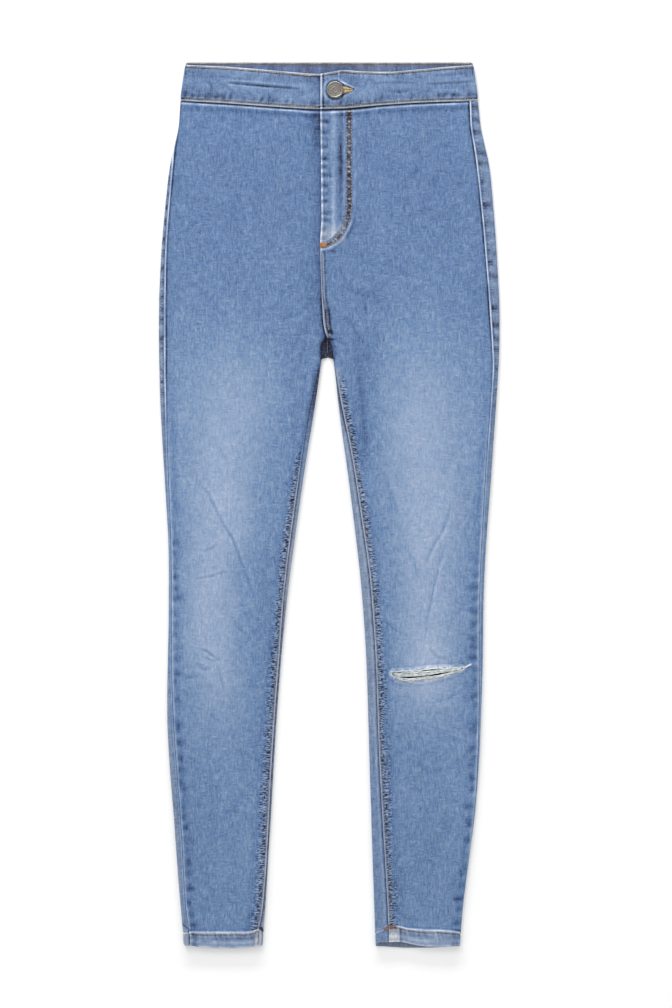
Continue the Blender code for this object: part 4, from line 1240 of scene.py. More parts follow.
def band_front(side):
    """One half of the front band, from its side joint to its free end."""
    outward = SIDES[side]
    quarter = math.pi / 2 * BAND_TURN - SEAM_GAP / 2
    fold = np.array([0, 0.15, 0.4, 0.8, 1.3, 1.9, quarter])[::-1]
    last = UNDERLAP_END if side == "right" else OVERLAP_END
    fine_from = 36.0 if side == "left" else last + 2.0 * outward
    run = np.arange(outward * BAND_FLAT, fine_from, -1.7 * outward)
    if side == "left":
        run = np.concatenate([run, np.arange(run[-1] - 0.9, last + 2.0, -0.9)])
    flat_x = np.concatenate([run, last + outward * np.array((1.8, 1.1, 0.7, 0.4, 0.15, 0))])
    low, high = BAND[side][0](flat_x), BAND[side][1](flat_x)
    low = np.where(np.abs(flat_x) > 160, BAND_LOW + (low - BAND_LOW) * 0.5, low)
    flat_up = low + (high - low) * BAND_SHARES
    flat_z = band_level(side, flat_x) + 0 * flat_up - BAND_HALF
    flat = [flat_x + 0 * flat_up, flat_z, 0 * flat_up, 1 + 0 * flat_up, flat_up]
    front_high = float(BAND[side][1](outward * BAND_MEASURED))
    p = band_points([band_fold(outward, fold, front_high), flat])
    to_end = np.concatenate([np.full(len(fold), FAR), np.abs(flat_x - last)]) + 0 * p.x
    to_side = np.concatenate([quarter - fold, np.full(len(flat_x), FAR)]) + 0 * p.x
    low, high = p.placed[:1], p.placed[-1:]
    at = low + (high - low) * (BAND_SHARES + 0 * p.x)
    seed = 500 if side == "left" else 600
    height, wear_and_shade, dull = band_finish(side, p.x, at, at - low, high - at, to_end, seed)
    if side == "right":
        height = height * (1 - smooth_step(p.x, OVERLAP_END - 8, OVERLAP_END - 2))
    draw = rounded(np.minimum(np.minimum(to_end, to_side), p.to_rim), BAND_WALL)
    outer, inner = stand(p, BAND_HALF - draw + p.rise * height), stand(p, BAND_HALF - BAND_WALL + draw)
    return shell("cloth_band_" + side, outer, inner, wear_and_shade, dull)


for side in SIDES:
    cloth["waistband_front_" + side] = band_front(side)

# %% Build the back band


def band_back():
    """Flat on the floor and turned up at both sides, with its inner face showing above the front."""
    whole = math.pi * BAND_TURN
    fold = np.linspace(whole / 2 + SEAM_GAP / 2, whole, 9)
    front_high = float(BAND["left"][1](BAND_MEASURED))
    first, last = (band_fold(outward, fold, front_high) for outward in (-1, 1))
    flat_x = np.arange(-160.0, 161.0, 2.5) + 0 * BAND_SHARES
    flat = [*level(flat_x, BAND_HALF, -1), BAND_LOW + (LENGTH - BAND_LOW) * BAND_SHARES + 0 * flat_x]
    p = band_points([first, flat, [values[:, ::-1] for values in last]])
    to_side = np.concatenate([fold - fold[0], np.full(flat_x.shape[1], FAR), (fold - fold[0])[::-1]])
    draw = rounded(np.minimum(to_side + 0 * p.x, p.to_rim), BAND_WALL)
    x, up = p.x, p.placed
    from_top = LENGTH - up
    ripple = 0.25 * drift(x, up, 14, 12, 701) * smooth_step(from_top, 0.5, 3)
    relief = np.minimum(p.rise, 0) * (0.35 * bell(from_top, 2.6, 0.9) - ripple)
    outer, inner = stand(p, BAND_HALF - draw), stand(p, BAND_HALF - BAND_WALL + draw - relief)
    # a painted shadow line under the band's turned top edge
    wear_and_shade = 0.47 + clouds(x, up, 702) + 0.09 * drift(x, up, 4, 20, 703) - 0.08 * bell(from_top, 4.4, 1.2)
    dull = 0.95 * smooth_step(from_top, 4.2, 2.8) + 0.25 * drift(x, up, 30, 20, 704)
    return shell("cloth_band_back", inner, outer, wear_and_shade, dull)


cloth["waistband_back"] = band_back()

# %% [markdown]
# ## Cut the rip and the buttonhole
# The knee is slashed across, and the buttonhole is a keyhole. A Boolean cuts both, with a closed cutter
# that is deleted afterwards. The cut edge gets points of its own, which have no wear-and-shade value yet.
# Those of the rip are set pale, because cut denim frays white, and the buttonhole's are painted dark as
# shade, because thread shades them.

# %% Cut the rip
ABOVE_ALL = 9.0  # the cutters end above everything
RIP_CUT_FROM, FRAY_WEAR = 2.2, 0.88  # between the leg's two layers, and how pale the cut edge is
JAG = 0.45  # how far missing threads notch the edge


def cut_out(piece, outline, low, new_wear_and_shade):
    """Cuts an upright prism out of a piece, from this height up.
    The new points get one value of wear and painted shade.
    """
    points = [(x, up, z) for z in (low, ABOVE_ALL) for x, up in outline]
    cutter = add_mesh(piece.name + "_cutter", points, stacked(0, 2, len(outline)), smooth=False)
    paint(piece, "known", np.ones(len(piece.data.vertices)))
    modifier = piece.modifiers.new("opening", "BOOLEAN")
    modifier.operation = "DIFFERENCE"
    modifier.solver = "EXACT"
    modifier.object = cutter
    with bpy.context.temp_override(object=piece, active_object=piece):
        bpy.ops.object.modifier_apply(modifier="opening")
    bpy.data.objects.remove(cutter)
    known, wear_and_shade = (np.empty(len(piece.data.vertices), np.float32) for _ in range(2))
    piece.data.attributes["known"].data.foreach_get("value", known)
    piece.data.attributes["wear_and_shade"].data.foreach_get("value", wear_and_shade)
    wear_and_shade[known < 0.5] = new_wear_and_shade
    piece.data.attributes["wear_and_shade"].data.foreach_set("value", wear_and_shade)
    piece.data.attributes.remove(piece.data.attributes["known"])
    print(piece.name, "has", int((known < 0.5).sum()), "new points round its opening")


def frayed(across, values, seed):
    """An edge of the rip with threads missing here and there."""
    fine = np.linspace(across[0], across[-1], 70)
    jag = np.random.default_rng(seed).uniform(-JAG, JAG, len(fine))
    jag[0] = jag[-1] = 0
    return list(zip(fine, np.interp(fine, across, values) + jag))


rip_outline = frayed(RIP_ACROSS, RIP_LOWER, 21) + frayed(RIP_ACROSS, RIP_UPPER, 22)[::-1]
cut_out(cloth["front_left"], rip_outline, RIP_CUT_FROM, FRAY_WEAR)

# %% Cut the buttonhole
BUTTON_ACROSS, BUTTON_UP = BUTTON_AT
EYE_RADIUS, SLIT_HALF, SLIT_END = 3.1, 0.5, 27.0
SLIT_CUT_FROM, SLIT_SHADE = 4.02, 0.3  # between overlap and underlap, and the bound edge painted dark as shade
meet = math.asin(SLIT_HALF / EYE_RADIUS)
keyhole = [
    (BUTTON_ACROSS + EYE_RADIUS * math.cos(a), BUTTON_UP + EYE_RADIUS * math.sin(a))
    for a in np.linspace(meet, 2 * math.pi - meet, 16)
]
keyhole += [(SLIT_END, BUTTON_UP - SLIT_HALF), (SLIT_END, BUTTON_UP + SLIT_HALF)]
cut_out(cloth["waistband_front_left"], keyhole, SLIT_CUT_FROM, SLIT_SHADE)

# %% [markdown]
# ## Thread
# Stitches are what the eye looks for on jeans. Each one is a short tube that dives into the cloth at
# both ends. A ray cast straight down finds the height of the cloth under each point, so every stitch
# lies on what carries it. All stitches of a seam are joined into one mesh.

# %% Find the cloth's height
TREES = []
for piece in cloth.values():
    corners = [v.co for v in piece.data.vertices]
    TREES.append(BVHTree.FromPolygons(corners, [p.vertices for p in piece.data.polygons]))


def height_at(x, up):
    """Upper face of the cloth at a place, in millimetres."""
    start = Vector((x * MM, (up - LENGTH / 2) * MM, 0.05))
    hits = [tree.ray_cast(start, Vector((0, 0, -1)))[0] for tree in TREES]
    return max((hit.z / MM for hit in hits if hit is not None), default=0.0)


print("height of the left thigh:", round(height_at(100, 600), 2), "mm")

# %% Tubes of thread


def slimming(count):
    """Thickness along a thread, which is thin at both ends, where it goes into the cloth."""
    return np.clip(np.sin(np.linspace(0.22, math.pi - 0.22, count)) * 2.2, 0.5, 1.0)


def tubes(name, paths, radius, sides=6):
    """One mesh of closed tubes along lists of points. Radius is one number, or one for each path."""
    points, faces = [], []
    for number, path in enumerate(paths):
        path = np.array(path, float)
        thick = radius[number] if hasattr(radius, "__len__") else radius
        along = np.gradient(path, axis=0)
        along /= np.maximum(np.linalg.norm(along, axis=1, keepdims=True), 1e-9)
        across = np.cross(along, (0.0, 0.0, 1.0))
        across /= np.maximum(np.linalg.norm(across, axis=1, keepdims=True), 1e-9)
        above = np.cross(across, along)
        slim = thick * slimming(len(path))
        faces += stacked(len(points), len(path), sides)
        for centre, a, b, r in zip(path, across, above, slim):
            for k in range(sides):
                turn = 2 * math.pi * k / sides
                points.append(centre + r * (a * math.cos(turn) + b * math.sin(turn)))
    made = add_mesh(name, np.array(points), faces)
    face_outward(made)
    print(name, len(paths), "threads,", sum(len(f) - 2 for f in faces), "triangles")
    return made


print("thickness along a stitch:", slimming(5).round(2))

# %% Stitches along a line
ALONG_STITCH = np.linspace(0, 1, 5)


def spaced(path, step):
    """Points along a line at even distances."""
    path = np.array(path, float)
    gone = np.concatenate([[0], np.cumsum(np.linalg.norm(np.diff(path, axis=0), axis=1))])
    at = np.arange(0, gone[-1], step)
    return np.stack([np.interp(at, gone, path[:, i]) for i in range(2)], 1)


def stitch_paths(path, pitch=3.0, length=2.3, proud=0.22, sunk=0.25, seed=0):
    """One short arched path for each stitch along a line of (across, up)."""
    rng = np.random.default_rng(seed)
    starts = spaced(path, pitch)
    found = []
    for a, b in zip(starts, starts[1:]):
        b = a + (b - a) * length / pitch * rng.uniform(0.92, 1.06)
        side = rng.uniform(-0.12, 0.12)
        foot = height_at(*((a + b) / 2)) - sunk
        arch = []
        for t in ALONG_STITCH:
            x, up = a + (b - a) * t
            arch.append((x + side * (t - 0.5), up, foot + (proud + sunk) * math.sin(math.pi * t) ** 0.6))
        found.append(arch)
    return found


def in_thread(name, rows, radius=0.3, **how):
    """Several rows of stitching as one piece."""
    paths = [p for k, row in enumerate(rows) for p in stitch_paths(row, seed=k, **how)]
    return tubes(name, paths, radius)


print(len(stitch_paths([(100, 600), (100, 630)])), "stitches in 30 mm")

# %% [markdown]
# ## Where the stitching runs
# Two rows hold the waistband, a double row curves round the fly, two rows hold the crotch seam, and one
# row each goes round the hems and down beside the inseams. The rows are worked out from the measured
# edges. Thread colours on this pair are mixed: tan on the band, gold by the button, brown on the legs.

# %% Rows of stitching
BAND_ROW, HEM_ROW = 2.6, 2.0  # how far inside its edge each row lies
BACK_ROW = [(x, LENGTH - 1.9) for x in (-166.0, 0.0, 166.0)]
INSEAM_ROW_TOP = {"right": 560.0, "left": 628.0}  # above this it rolls out of sight


def band_row(side, edge, inset):
    """Along the lower (0) or the upper (1) edge of the band."""
    outward = SIDES[side]
    last = OVERLAP_END - 2 if side == "right" else OVERLAP_END + 2.6
    xs = np.linspace(outward * 169.0, last, 60)
    return [(x, float(BAND[side][edge](x)) + inset) for x in xs]


def on_hem(side, xs, up):
    """Places at one height of the hem, bent with it."""
    return [(x, float(lay(side, np.array(x), np.array(up), 1.0))) for x in xs]


def hem_row(side):
    """The row of stitches across a hem."""
    edges, outward = EDGES[side], SIDES[side]
    xs = np.linspace(edges["outer"](10.0) - 2.4 * outward, edges["inner"](10.0) + 2.4 * outward, 40)
    return on_hem(side, xs, HEM_UP - HEM_ROW)


def inseam_row(side, inset):
    """A row of stitches beside an inseam, from the hem up."""
    edges, outward = EDGES[side], SIDES[side]
    ups = np.arange(HEM_UP + 4, INSEAM_ROW_TOP[side], 6.0)
    return [(float(edges["inseam"](min(up, 682.0))) + outward * inset, up) for up in ups]


def centre_row(share, low, high):
    """Down the crotch seam, at a share of the way to its second line."""
    return [(float(centre_line(up) + share * second_row(up)), up) for up in np.arange(low, high, 4.0)]


print("the hem's row begins at", np.round(hem_row("right")[0], 1))

# %% Stitch the garment
band_rows = [band_row(side, edge, inset) for edge, inset in ((0, BAND_ROW), (1, -BAND_ROW)) for side in SIDES]
crotch_rows = [centre_row(0.34, 722, 815), centre_row(0.72, 722, 813)]
ROWS_OF_THREAD = {
    # rows, radius of the thread, and how its stitches differ from the plain ones
    "stitches_band": (band_rows, 0.42, {}),
    "stitches_fly": ([j_row(J_INNER), j_row(J_OUTER)], 0.4, {"pitch": 3.65, "length": 2.5}),
    "stitches_crotch": (crotch_rows, 0.38, {}),
    "stitches_inseams": ([inseam_row(side, 2.4) for side in SIDES], 0.36, {"pitch": 4.2}),
    "stitches_hems": ([hem_row(side) for side in SIDES], 0.45, {"pitch": 3.4, "length": 2.7}),
    "stitches_back_band": ([BACK_ROW], 0.62, {"proud": 0.3, "length": 2.8}),
}
threads = {name: in_thread(name, rows, radius, **how) for name, (rows, radius, how) in ROWS_OF_THREAD.items()}

# %% [markdown]
# ## Short rows
# Three short rows are left. The back's seam shows in the hollow at the crotch, brown stitches cross the
# left hem at its inseam, and a few gold ones show on the band beside the fly. They differ in colour from
# the long rows, so each is a piece of its own, made with the same tubes.

# %% Stitch the short rows
centre_back = [(float(EDGES["right"]["centre_back"](up)) + 0.15, up) for up in (692, 697, 702, 707, 712)]
seam_line = [(x + 0.35 * math.sin(0.5 * up), up, height_at(x + 0.6, up) + 0.2) for x, up in centre_back]
crossings = [on_hem("left", (64, 67, 70, 74, 79), up) for up in (12.4, 14.2, 16.2)]
gold_row = [(x, float(BAND["right"][1](x)) - BAND_ROW + 0.1) for x in (-33.0, -27.0, -20.0)]
threads["centre_back"] = tubes("centre_back", [seam_line], 0.4)
threads["hem_crossing"] = in_thread("hem_crossing", crossings, 0.6, pitch=2.2, length=2.0)
threads["stitches_gold"] = in_thread("stitches_gold", [gold_row], 0.62, proud=0.45)

# %% [markdown]
# ## Bartack and buttonhole
# A bartack is a dense block of thread that stops the fly from tearing. The buttonhole is bound with
# gold thread laid across its edge, thick at the rounded end of the slit. Bump could fake both, but each
# of their threads catches the light, so both are loops of short tubes.

# %% Dense stitching
BARTACK_ACROSS, BARTACK_UP, BARTACK_TALL = (-10.7, -3.3), 821.3, 7.2
BARTACK_LEAN, BARTACK_PROUD, BARTACK_THREADS = 0.35, 0.28, 17
BOUND_FOOT = 4.9  # height at which the threads round the buttonhole start
BOUND_END = SLIT_END - 1.0


def bartack():
    """Close upright threads with a slight zigzag."""
    paths = []
    for k, x in enumerate(np.linspace(*BARTACK_ACROSS, BARTACK_THREADS)):
        lean = BARTACK_LEAN if k % 2 else -BARTACK_LEAN
        run = [(x + lean * (t - 0.5), BARTACK_UP + BARTACK_TALL * (t - 0.5), t) for t in ALONG_STITCH]
        paths.append([(a, b, height_at(a, b) + BARTACK_PROUD * math.sin(math.pi * t)) for a, b, t in run])
    return paths


def bound_thread(x, up, dx, dy, inward, far, taper):
    """One thread from inside the slit, over its edge and outward along (dx, dy)."""
    steps = (
        (-inward, BOUND_FOOT + 2.4 * inward),
        (0.6, BAND_OVER_TOP + 0.55),
        (far * taper, BAND_OVER_TOP + 0.35),
        ((far + 0.3) * taper, BAND_OVER_TOP - 0.1),
    )
    return [(x + dx * away, up + dy * away, height) for away, height in steps]


def buttonhole_threads():
    """Threads along both sides of the slit, shorter towards its end, and round that end."""
    paths = []
    for way in (1, -1):
        for x in np.arange(14.0, BOUND_END, 0.55):
            taper = 1 - 0.6 * smooth_step(x, 15, 27)
            paths.append(bound_thread(x, BUTTON_UP + way * SLIT_HALF, 0, way, 0.55, 3.4, taper))
    for turn in np.linspace(-1.5, 1.5, 11):
        paths.append(bound_thread(BOUND_END, BUTTON_UP, math.cos(turn), math.sin(turn), 0.0, 1.4, 1.0))
    return paths


threads["bartack"] = tubes("bartack", bartack(), 0.3)
threads["buttonhole_edge"] = tubes("buttonhole_edge", buttonhole_threads(), 0.34)

# %% [markdown]
# ## Threads across the rip
# Where denim is slashed the blue warp is cut away, and the undyed weft stays: cream threads that run
# across the hole, slack and slightly parted. A few broken warp ends stand at its upper and lower edge.

# %% The weft
WEFT_SHARES = (0.03, 0.10, 0.17, 0.235, 0.43, 0.495, 0.56, 0.625, 0.69, 0.755, 0.82, 0.97)
SAG_BELOW = 0.3  # threads lower than this share of the gap sag to the lip at their outer end
rip_rng = np.random.default_rng(33)


def weft(share, number):
    """One slack thread between the two edges of the rip."""
    first = RIP_ACROSS[0] + rip_rng.uniform(0.2, 3)
    last = RIP_ACROSS[-1] - rip_rng.uniform(0.2, 4)
    points = []
    for t in np.linspace(0, 1, 34):
        x = first + (last - first) * t
        low, high = np.interp(x, RIP_ACROSS, RIP_LOWER), np.interp(x, RIP_ACROSS, RIP_UPPER)
        sag = 0.5 * float(smooth_step(x, 112, 148)) if share < SAG_BELOW else 0.0
        up = low + (high - low) * share * (1 - sag)
        up += 0.32 * math.sin(0.19 * x + 2.1 * number) + 0.15 * math.sin(0.7 * x + number)
        z = 4.75 + 0.25 * math.sin(0.11 * x + 1.7 * number) - 0.9 * (abs(2 * t - 1) > 0.97)
        points.append((x, up, z))
    return points


weft_paths = [weft(share, k) for k, share in enumerate(WEFT_SHARES)]
# two threads have slipped out of the rip's outer end and lie on the cloth
tail = [(157.5 + 9 * t, 327.0 + 4.6 * t + 0.5 * math.sin(3 * t)) for t in np.linspace(0, 1, 8)]
weft_paths += [[(x, up + shift, height_at(x, up + shift) + 0.15) for x, up in tail] for shift in (-0.5, 0.5)]
threads["rip_weft"] = tubes("rip_weft", weft_paths, list(rip_rng.uniform(0.42, 0.62, len(weft_paths))))

# %% Frayed ends
SHORT_ENDS, TUFT_THREADS = 130, 5
TUFTS = (
    # across, up, reach across, reach up
    (75, 319, -5, 0.5),
    (76, 322, -4.5, 1.2),
    (79, 325.5, -6, 1),
    (78, 315, -4, -1),
    (152, 329.5, 4, 1.5),
    (146, 330, 4, 1),
)


def frayed_ends():
    """Short broken threads that stand in the gap at both of its edges."""
    paths = []
    for _ in range(SHORT_ENDS):
        x = rip_rng.uniform(RIP_ACROSS[0] + 1, RIP_ACROSS[-1] - 1)
        upper = rip_rng.uniform() < 0.5
        up = np.interp(x, RIP_ACROSS, RIP_UPPER if upper else RIP_LOWER)
        inward = -1 if upper else 1
        length = rip_rng.uniform(0.8, 2.4)
        lean = rip_rng.uniform(-0.8, 0.8)
        along = np.linspace(0, 1, 4)
        paths.append([(x + lean * t, up + inward * (length * t - 0.9), 4.8 + 0.4 * t) for t in along])
    return paths


def tufts():
    """Loose threads lying on the cloth at the ends of the rip."""
    paths = []
    for x, up, run, rise in TUFTS:
        for _ in range(TUFT_THREADS):
            a, b = x + rip_rng.uniform(-1.2, 1.2), up + rip_rng.uniform(-1.4, 1.4)
            far_a, far_b = a + run * rip_rng.uniform(0.5, 1.1), b + rise + rip_rng.uniform(-0.8, 0.8)
            along = np.linspace(0, 1, 6)
            line = [(a + (far_a - a) * t, b + (far_b - b) * t + 0.3 * math.sin(5 * t)) for t in along]
            paths.append([(u, v, height_at(u, v) + 0.12) for u, v in line])
    return paths


threads["rip_ends"] = tubes("rip_ends", frayed_ends() + tufts(), 0.2, sides=5)

# %% [markdown]
# ## The button
# A jeans button is a thin metal cap rolled over a rim, on a shank that goes through the keyhole. It is a
# turned shape with two plain raised rings, so a short profile spun round its axis is enough. Pressing
# rings into a disc with bump would leave its outline flat.

# %% Turn the button
SHANK_RADIUS, SEAT_GAP = 2.3, 0.5
RIM = (7.8, 0.0), (9.2, 0.25), (9.85, 0.75), (9.98, 1.2), (9.8, 1.6), (9.3, 1.9), (8.7, 2.0), (8.1, 1.85)
OUTER_RING = (7.7, 1.55), (7.3, 1.42), (6.6, 1.45), (6.2, 1.62), (5.8, 1.62), (5.4, 1.45)
INNER_RING = (4.0, 1.5), (3.4, 1.72), (2.9, 1.72), (2.4, 1.5), (1.2, 1.55), (0.05, 1.56)
CAP = RIM + OUTER_RING + INNER_RING  # radius, and height above the seat


def turned(name, profile, centre, sides=64):
    """A closed solid of revolution about an upright axis, from its foot to its top."""
    turns = np.arange(sides) * 2 * math.pi / sides
    points = [
        (centre[0] + radius * math.cos(a), centre[1] + radius * math.sin(a), height)
        for radius, height in profile
        for a in turns
    ]
    return add_mesh(name, points, stacked(0, len(profile), sides))


button_base, button_top = (corner.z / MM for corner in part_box("button"))
seat = BAND_OVER_TOP + SEAT_GAP
shank = [(SHANK_RADIUS, button_base), (SHANK_RADIUS, seat)]
button = turned("button_cap", shank + [(radius, seat + height) for radius, height in CAP], BUTTON_AT)
button.data.set_sharp_from_angle(angle=math.radians(70))
top = seat + max(height for radius, height in CAP)
print("button top at", round(top, 2), "mm, and the CAD button's at", round(button_top, 2))

# %% [markdown]
# ## Denim
# Denim is woven from blue warp threads over a white weft, and wear strips the blue. So one value drives
# its colour: the wear on the points, with the shade and light painted into it, plus slubs and mottling
# from noise. A colour ramp turns that into indigo, mid blue, faded blue and white. A fine diagonal wave
# gives the twill, in colour and in bump.

# %% Node tools


def srgb(red, green, blue):
    """A colour as picked from a screen, turned into the linear values that Blender uses."""
    values = [c / 255 for c in (red, green, blue)]
    return tuple(c / 12.92 if c <= 0.04045 else ((c + 0.055) / 1.055) ** 2.4 for c in values) + (1.0,)


class Nodes:
    """A material's node tree, with one short call for each node."""

    def __init__(self, name, roughness, metallic=0.0):
        self.material = bpy.data.materials.new(name)
        self.material.use_nodes = True
        self.tree = self.material.node_tree
        self.shader = self.tree.nodes["Principled BSDF"]
        self.shader.inputs["Roughness"].default_value = roughness
        self.shader.inputs["Metallic"].default_value = metallic
        self.place = self.add("TexCoord").outputs["Object"]

    def add(self, kind, inputs=None, **settings):
        """A shader node, with its inputs set or linked."""
        node = self.tree.nodes.new("ShaderNode" + kind)
        for name, value in settings.items():
            setattr(node, name, value)
        for name, value in (inputs or {}).items():
            if isinstance(value, bpy.types.NodeSocket):
                self.tree.links.new(value, node.inputs[name])
            else:
                node.inputs[name].default_value = value
        return node

    def math(self, operation, a, b):
        return self.add("Math", {0: a, 1: b}, operation=operation).outputs[0]

    def times(self, a, b):
        return self.math("MULTIPLY", a, b)

    def total(self, *parts):
        """The sum of several values."""
        result = parts[0]
        for part in parts[1:]:
            result = self.math("ADD", result, part)
        return result

    def centred(self, value, middle=0.5):
        """A value that runs from 0 to 1, moved so that its middle is nought."""
        return self.math("SUBTRACT", value, middle)

    def spread(self, value, source, target):
        """A value that runs over one range, moved to run over another."""
        ends = {"From Min": source[0], "From Max": source[1], "To Min": target[0], "To Max": target[1]}
        return self.add("MapRange", {"Value": value, **ends}).outputs[0]

    def painted(self, name):
        """A value kept on the points."""
        return self.add("Attribute", attribute_name=name).outputs["Fac"]

    def noise(self, across, along, detail=2.0, turn=0.0):
        """Noise whose grains are about this wide and long, in millimetres."""
        scale = (1 / (across * MM), 1 / (along * MM), 1 / (across * MM))
        mapped = self.add("Mapping", {"Vector": self.place, "Rotation": (0, 0, turn), "Scale": scale})
        return self.add("TexNoise", {"Vector": mapped.outputs[0], "Scale": 1.0, "Detail": detail}).outputs[0]

    def ramp(self, value, stops):
        """A colour for each value."""
        ramp = self.add("ValToRGB", {"Fac": value})
        elements = ramp.color_ramp.elements
        while len(elements) < len(stops):
            elements.new(0.5)
        for element, (place, colour) in zip(elements, stops):
            element.position, element.color = place, srgb(*colour)
        return ramp.outputs[0]

    def bump(self, height, strength, distance):
        made = self.add("Bump", {"Height": height, "Strength": strength, "Distance": distance * MM})
        self.tree.links.new(made.outputs[0], self.shader.inputs["Normal"])

    def colour(self, socket):
        self.tree.links.new(socket, self.shader.inputs["Base Color"])


print("mid blue is", [round(value, 3) for value in srgb(104, 132, 172)[:3]], "in linear light")

# %% Colours of worn denim
OUTSIDE = (
    (0.0, (22, 26, 46)),
    (0.12, (46, 58, 92)),
    (0.3, (76, 102, 143)),
    (0.5, (104, 132, 172)),
    (0.62, (127, 151, 184)),
    (0.75, (152, 170, 199)),
    (0.9, (194, 206, 224)),
    (1.0, (222, 228, 238)),
)
INSIDE = (
    (0.0, (44, 42, 46)),
    (0.25, (72, 78, 98)),
    (0.5, (99, 114, 150)),
    (0.75, (142, 158, 188)),
    (1.0, (205, 210, 216)),
)
print(len(OUTSIDE), "stops from new indigo to white, and", len(INSIDE), "for the reverse")

# %% The denims
TWILL_PITCH, TWILL_TURN, TWILL_SHARE = 0.62, 28, 0.05  # pitch in millimetres, and slant in degrees
CONTRAST = 0.84
GRAINS = (
    # size across and along in millimetres, detail, and share of the colour
    (1.5, 9, 3.0, 0.30),
    (1.3, 1.5, 2.0, 0.46),
    (3.4, 5.2, 3.0, 0.23),
    (11, 20, 2.0, 0.10),
)


def mottling(nodes, grains):
    """Slubs of several sizes, in patches that run lengthwise or crosswise."""
    lengthwise, crosswise = nodes.centred(nodes.noise(2.0, 9.5, 1.0)), nodes.centred(nodes.noise(7, 1.9, 1.0))
    which = nodes.spread(nodes.noise(7, 9, 1.0), (0.42, 0.62), (0.0, 1.0))
    woven = nodes.add("Mix", {"Factor": which, "A": lengthwise, "B": crosswise}).outputs[0]
    parts = [nodes.times(nodes.centred(grain), row[3] * CONTRAST) for grain, row in zip(grains, GRAINS)]
    return nodes.total(nodes.times(woven, 0.5 * CONTRAST), *parts)


def twill_wave(nodes):
    """The fine diagonal of the weave."""
    twist = nodes.add("Mapping", {"Vector": nodes.place, "Rotation": (0, 0, math.radians(TWILL_TURN))})
    scale = 2 * math.pi / (20 * TWILL_PITCH * MM)
    wave = {"Vector": twist.outputs[0], "Scale": scale, "Distortion": 1.2, "Detail": 1.0}
    return nodes.add("TexWave", wave).outputs[1]


def stitched_ticks(nodes):
    """Short crosswise dashes, where the points carry ticks."""
    dashes = nodes.centred(nodes.noise(4.6, 1.1, 1.0), 0.52)
    held = nodes.math("MAXIMUM", nodes.math("MINIMUM", dashes, 0.045), -0.095)
    return nodes.times(held, nodes.painted("ticks"))


def denim(name, stops):
    """Washed cloth: a colour for each value of wear and painted shade, with slubs and twill."""
    nodes = Nodes(name, 0.88)
    wear_and_shade = nodes.painted("wear_and_shade")
    grains = [nodes.noise(across, along, detail) for across, along, detail, _ in GRAINS]
    quiet = nodes.spread(wear_and_shade, (0.48, 0.74), (1.0, 0.58))  # pale cloth is less mottled
    mottled = nodes.times(mottling(nodes, grains), quiet)
    twill = twill_wave(nodes)
    diagonal = nodes.times(nodes.centred(twill), TWILL_SHARE * CONTRAST)
    wear_and_shade = nodes.total(wear_and_shade, mottled, stitched_ticks(nodes), diagonal)
    patches = nodes.times(nodes.centred(nodes.noise(6, 8, 2.0)), 0.24)
    greyed = nodes.times(nodes.painted("dull"), 0.62)
    blueness = nodes.total(nodes.math("SUBTRACT", 1.0, greyed), patches)
    shade = nodes.add("HueSaturation", {"Saturation": blueness, "Color": nodes.ramp(wear_and_shade, stops)})
    nodes.colour(shade.outputs[0])
    nodes.bump(nodes.total(twill, nodes.times(grains[0], 1.5), grains[1]), 0.25, 0.12)
    for socket, value in (("Sheen Weight", 0.08), ("Sheen Roughness", 0.6), ("Specular IOR Level", 0.2)):
        nodes.shader.inputs[socket].default_value = value
    return nodes.material


denim_outside = denim("washed_denim", OUTSIDE)
denim_band = denim("washed_denim_band", OUTSIDE)
denim_inside = denim("denim_reverse", INSIDE)
print("the denim has", len(denim_outside.node_tree.nodes), "nodes")

# %% [markdown]
# ## Thread, metal, tape and the floor
# Thread is dull and twisted, so it gets patchy colour and a fine bump from noise. The button is old
# brass, its colour and roughness mottled by noise.

# %% Thread, brass and tape


def thread_material(name, dark, light, patch=9.0):
    nodes = Nodes(name, 0.7)
    tone = nodes.noise(patch, patch, 2.0)
    nodes.colour(nodes.ramp(tone, ((0.3, dark), (0.7, light))))
    nodes.bump(nodes.noise(0.25, 0.25, 1.0), 0.4, 0.1)
    return nodes.material


def brass_material():
    nodes = Nodes("antique_brass", 0.42, 1.0)
    tone = nodes.noise(1.4, 1.4, 4.0)
    nodes.colour(nodes.ramp(tone, ((0.3, (116, 111, 106)), (0.5, (140, 135, 129)), (0.7, (162, 157, 150)))))
    rough = nodes.spread(nodes.noise(0.8, 0.8, 3.0), (0.0, 1.0), (0.3, 0.6))
    nodes.tree.links.new(rough, nodes.shader.inputs["Roughness"])
    nodes.bump(nodes.noise(0.7, 0.7, 2.0), 0.12, 0.08)
    return nodes.material


def tape_material():
    nodes = Nodes("zip_tape", 0.8)
    nodes.colour(nodes.ramp(nodes.noise(0.6, 0.9, 2.0), ((0.3, (48, 60, 88)), (0.7, (72, 86, 116)))))
    nodes.bump(nodes.noise(0.5, 0.7, 1.0), 0.4, 0.15)
    return nodes.material


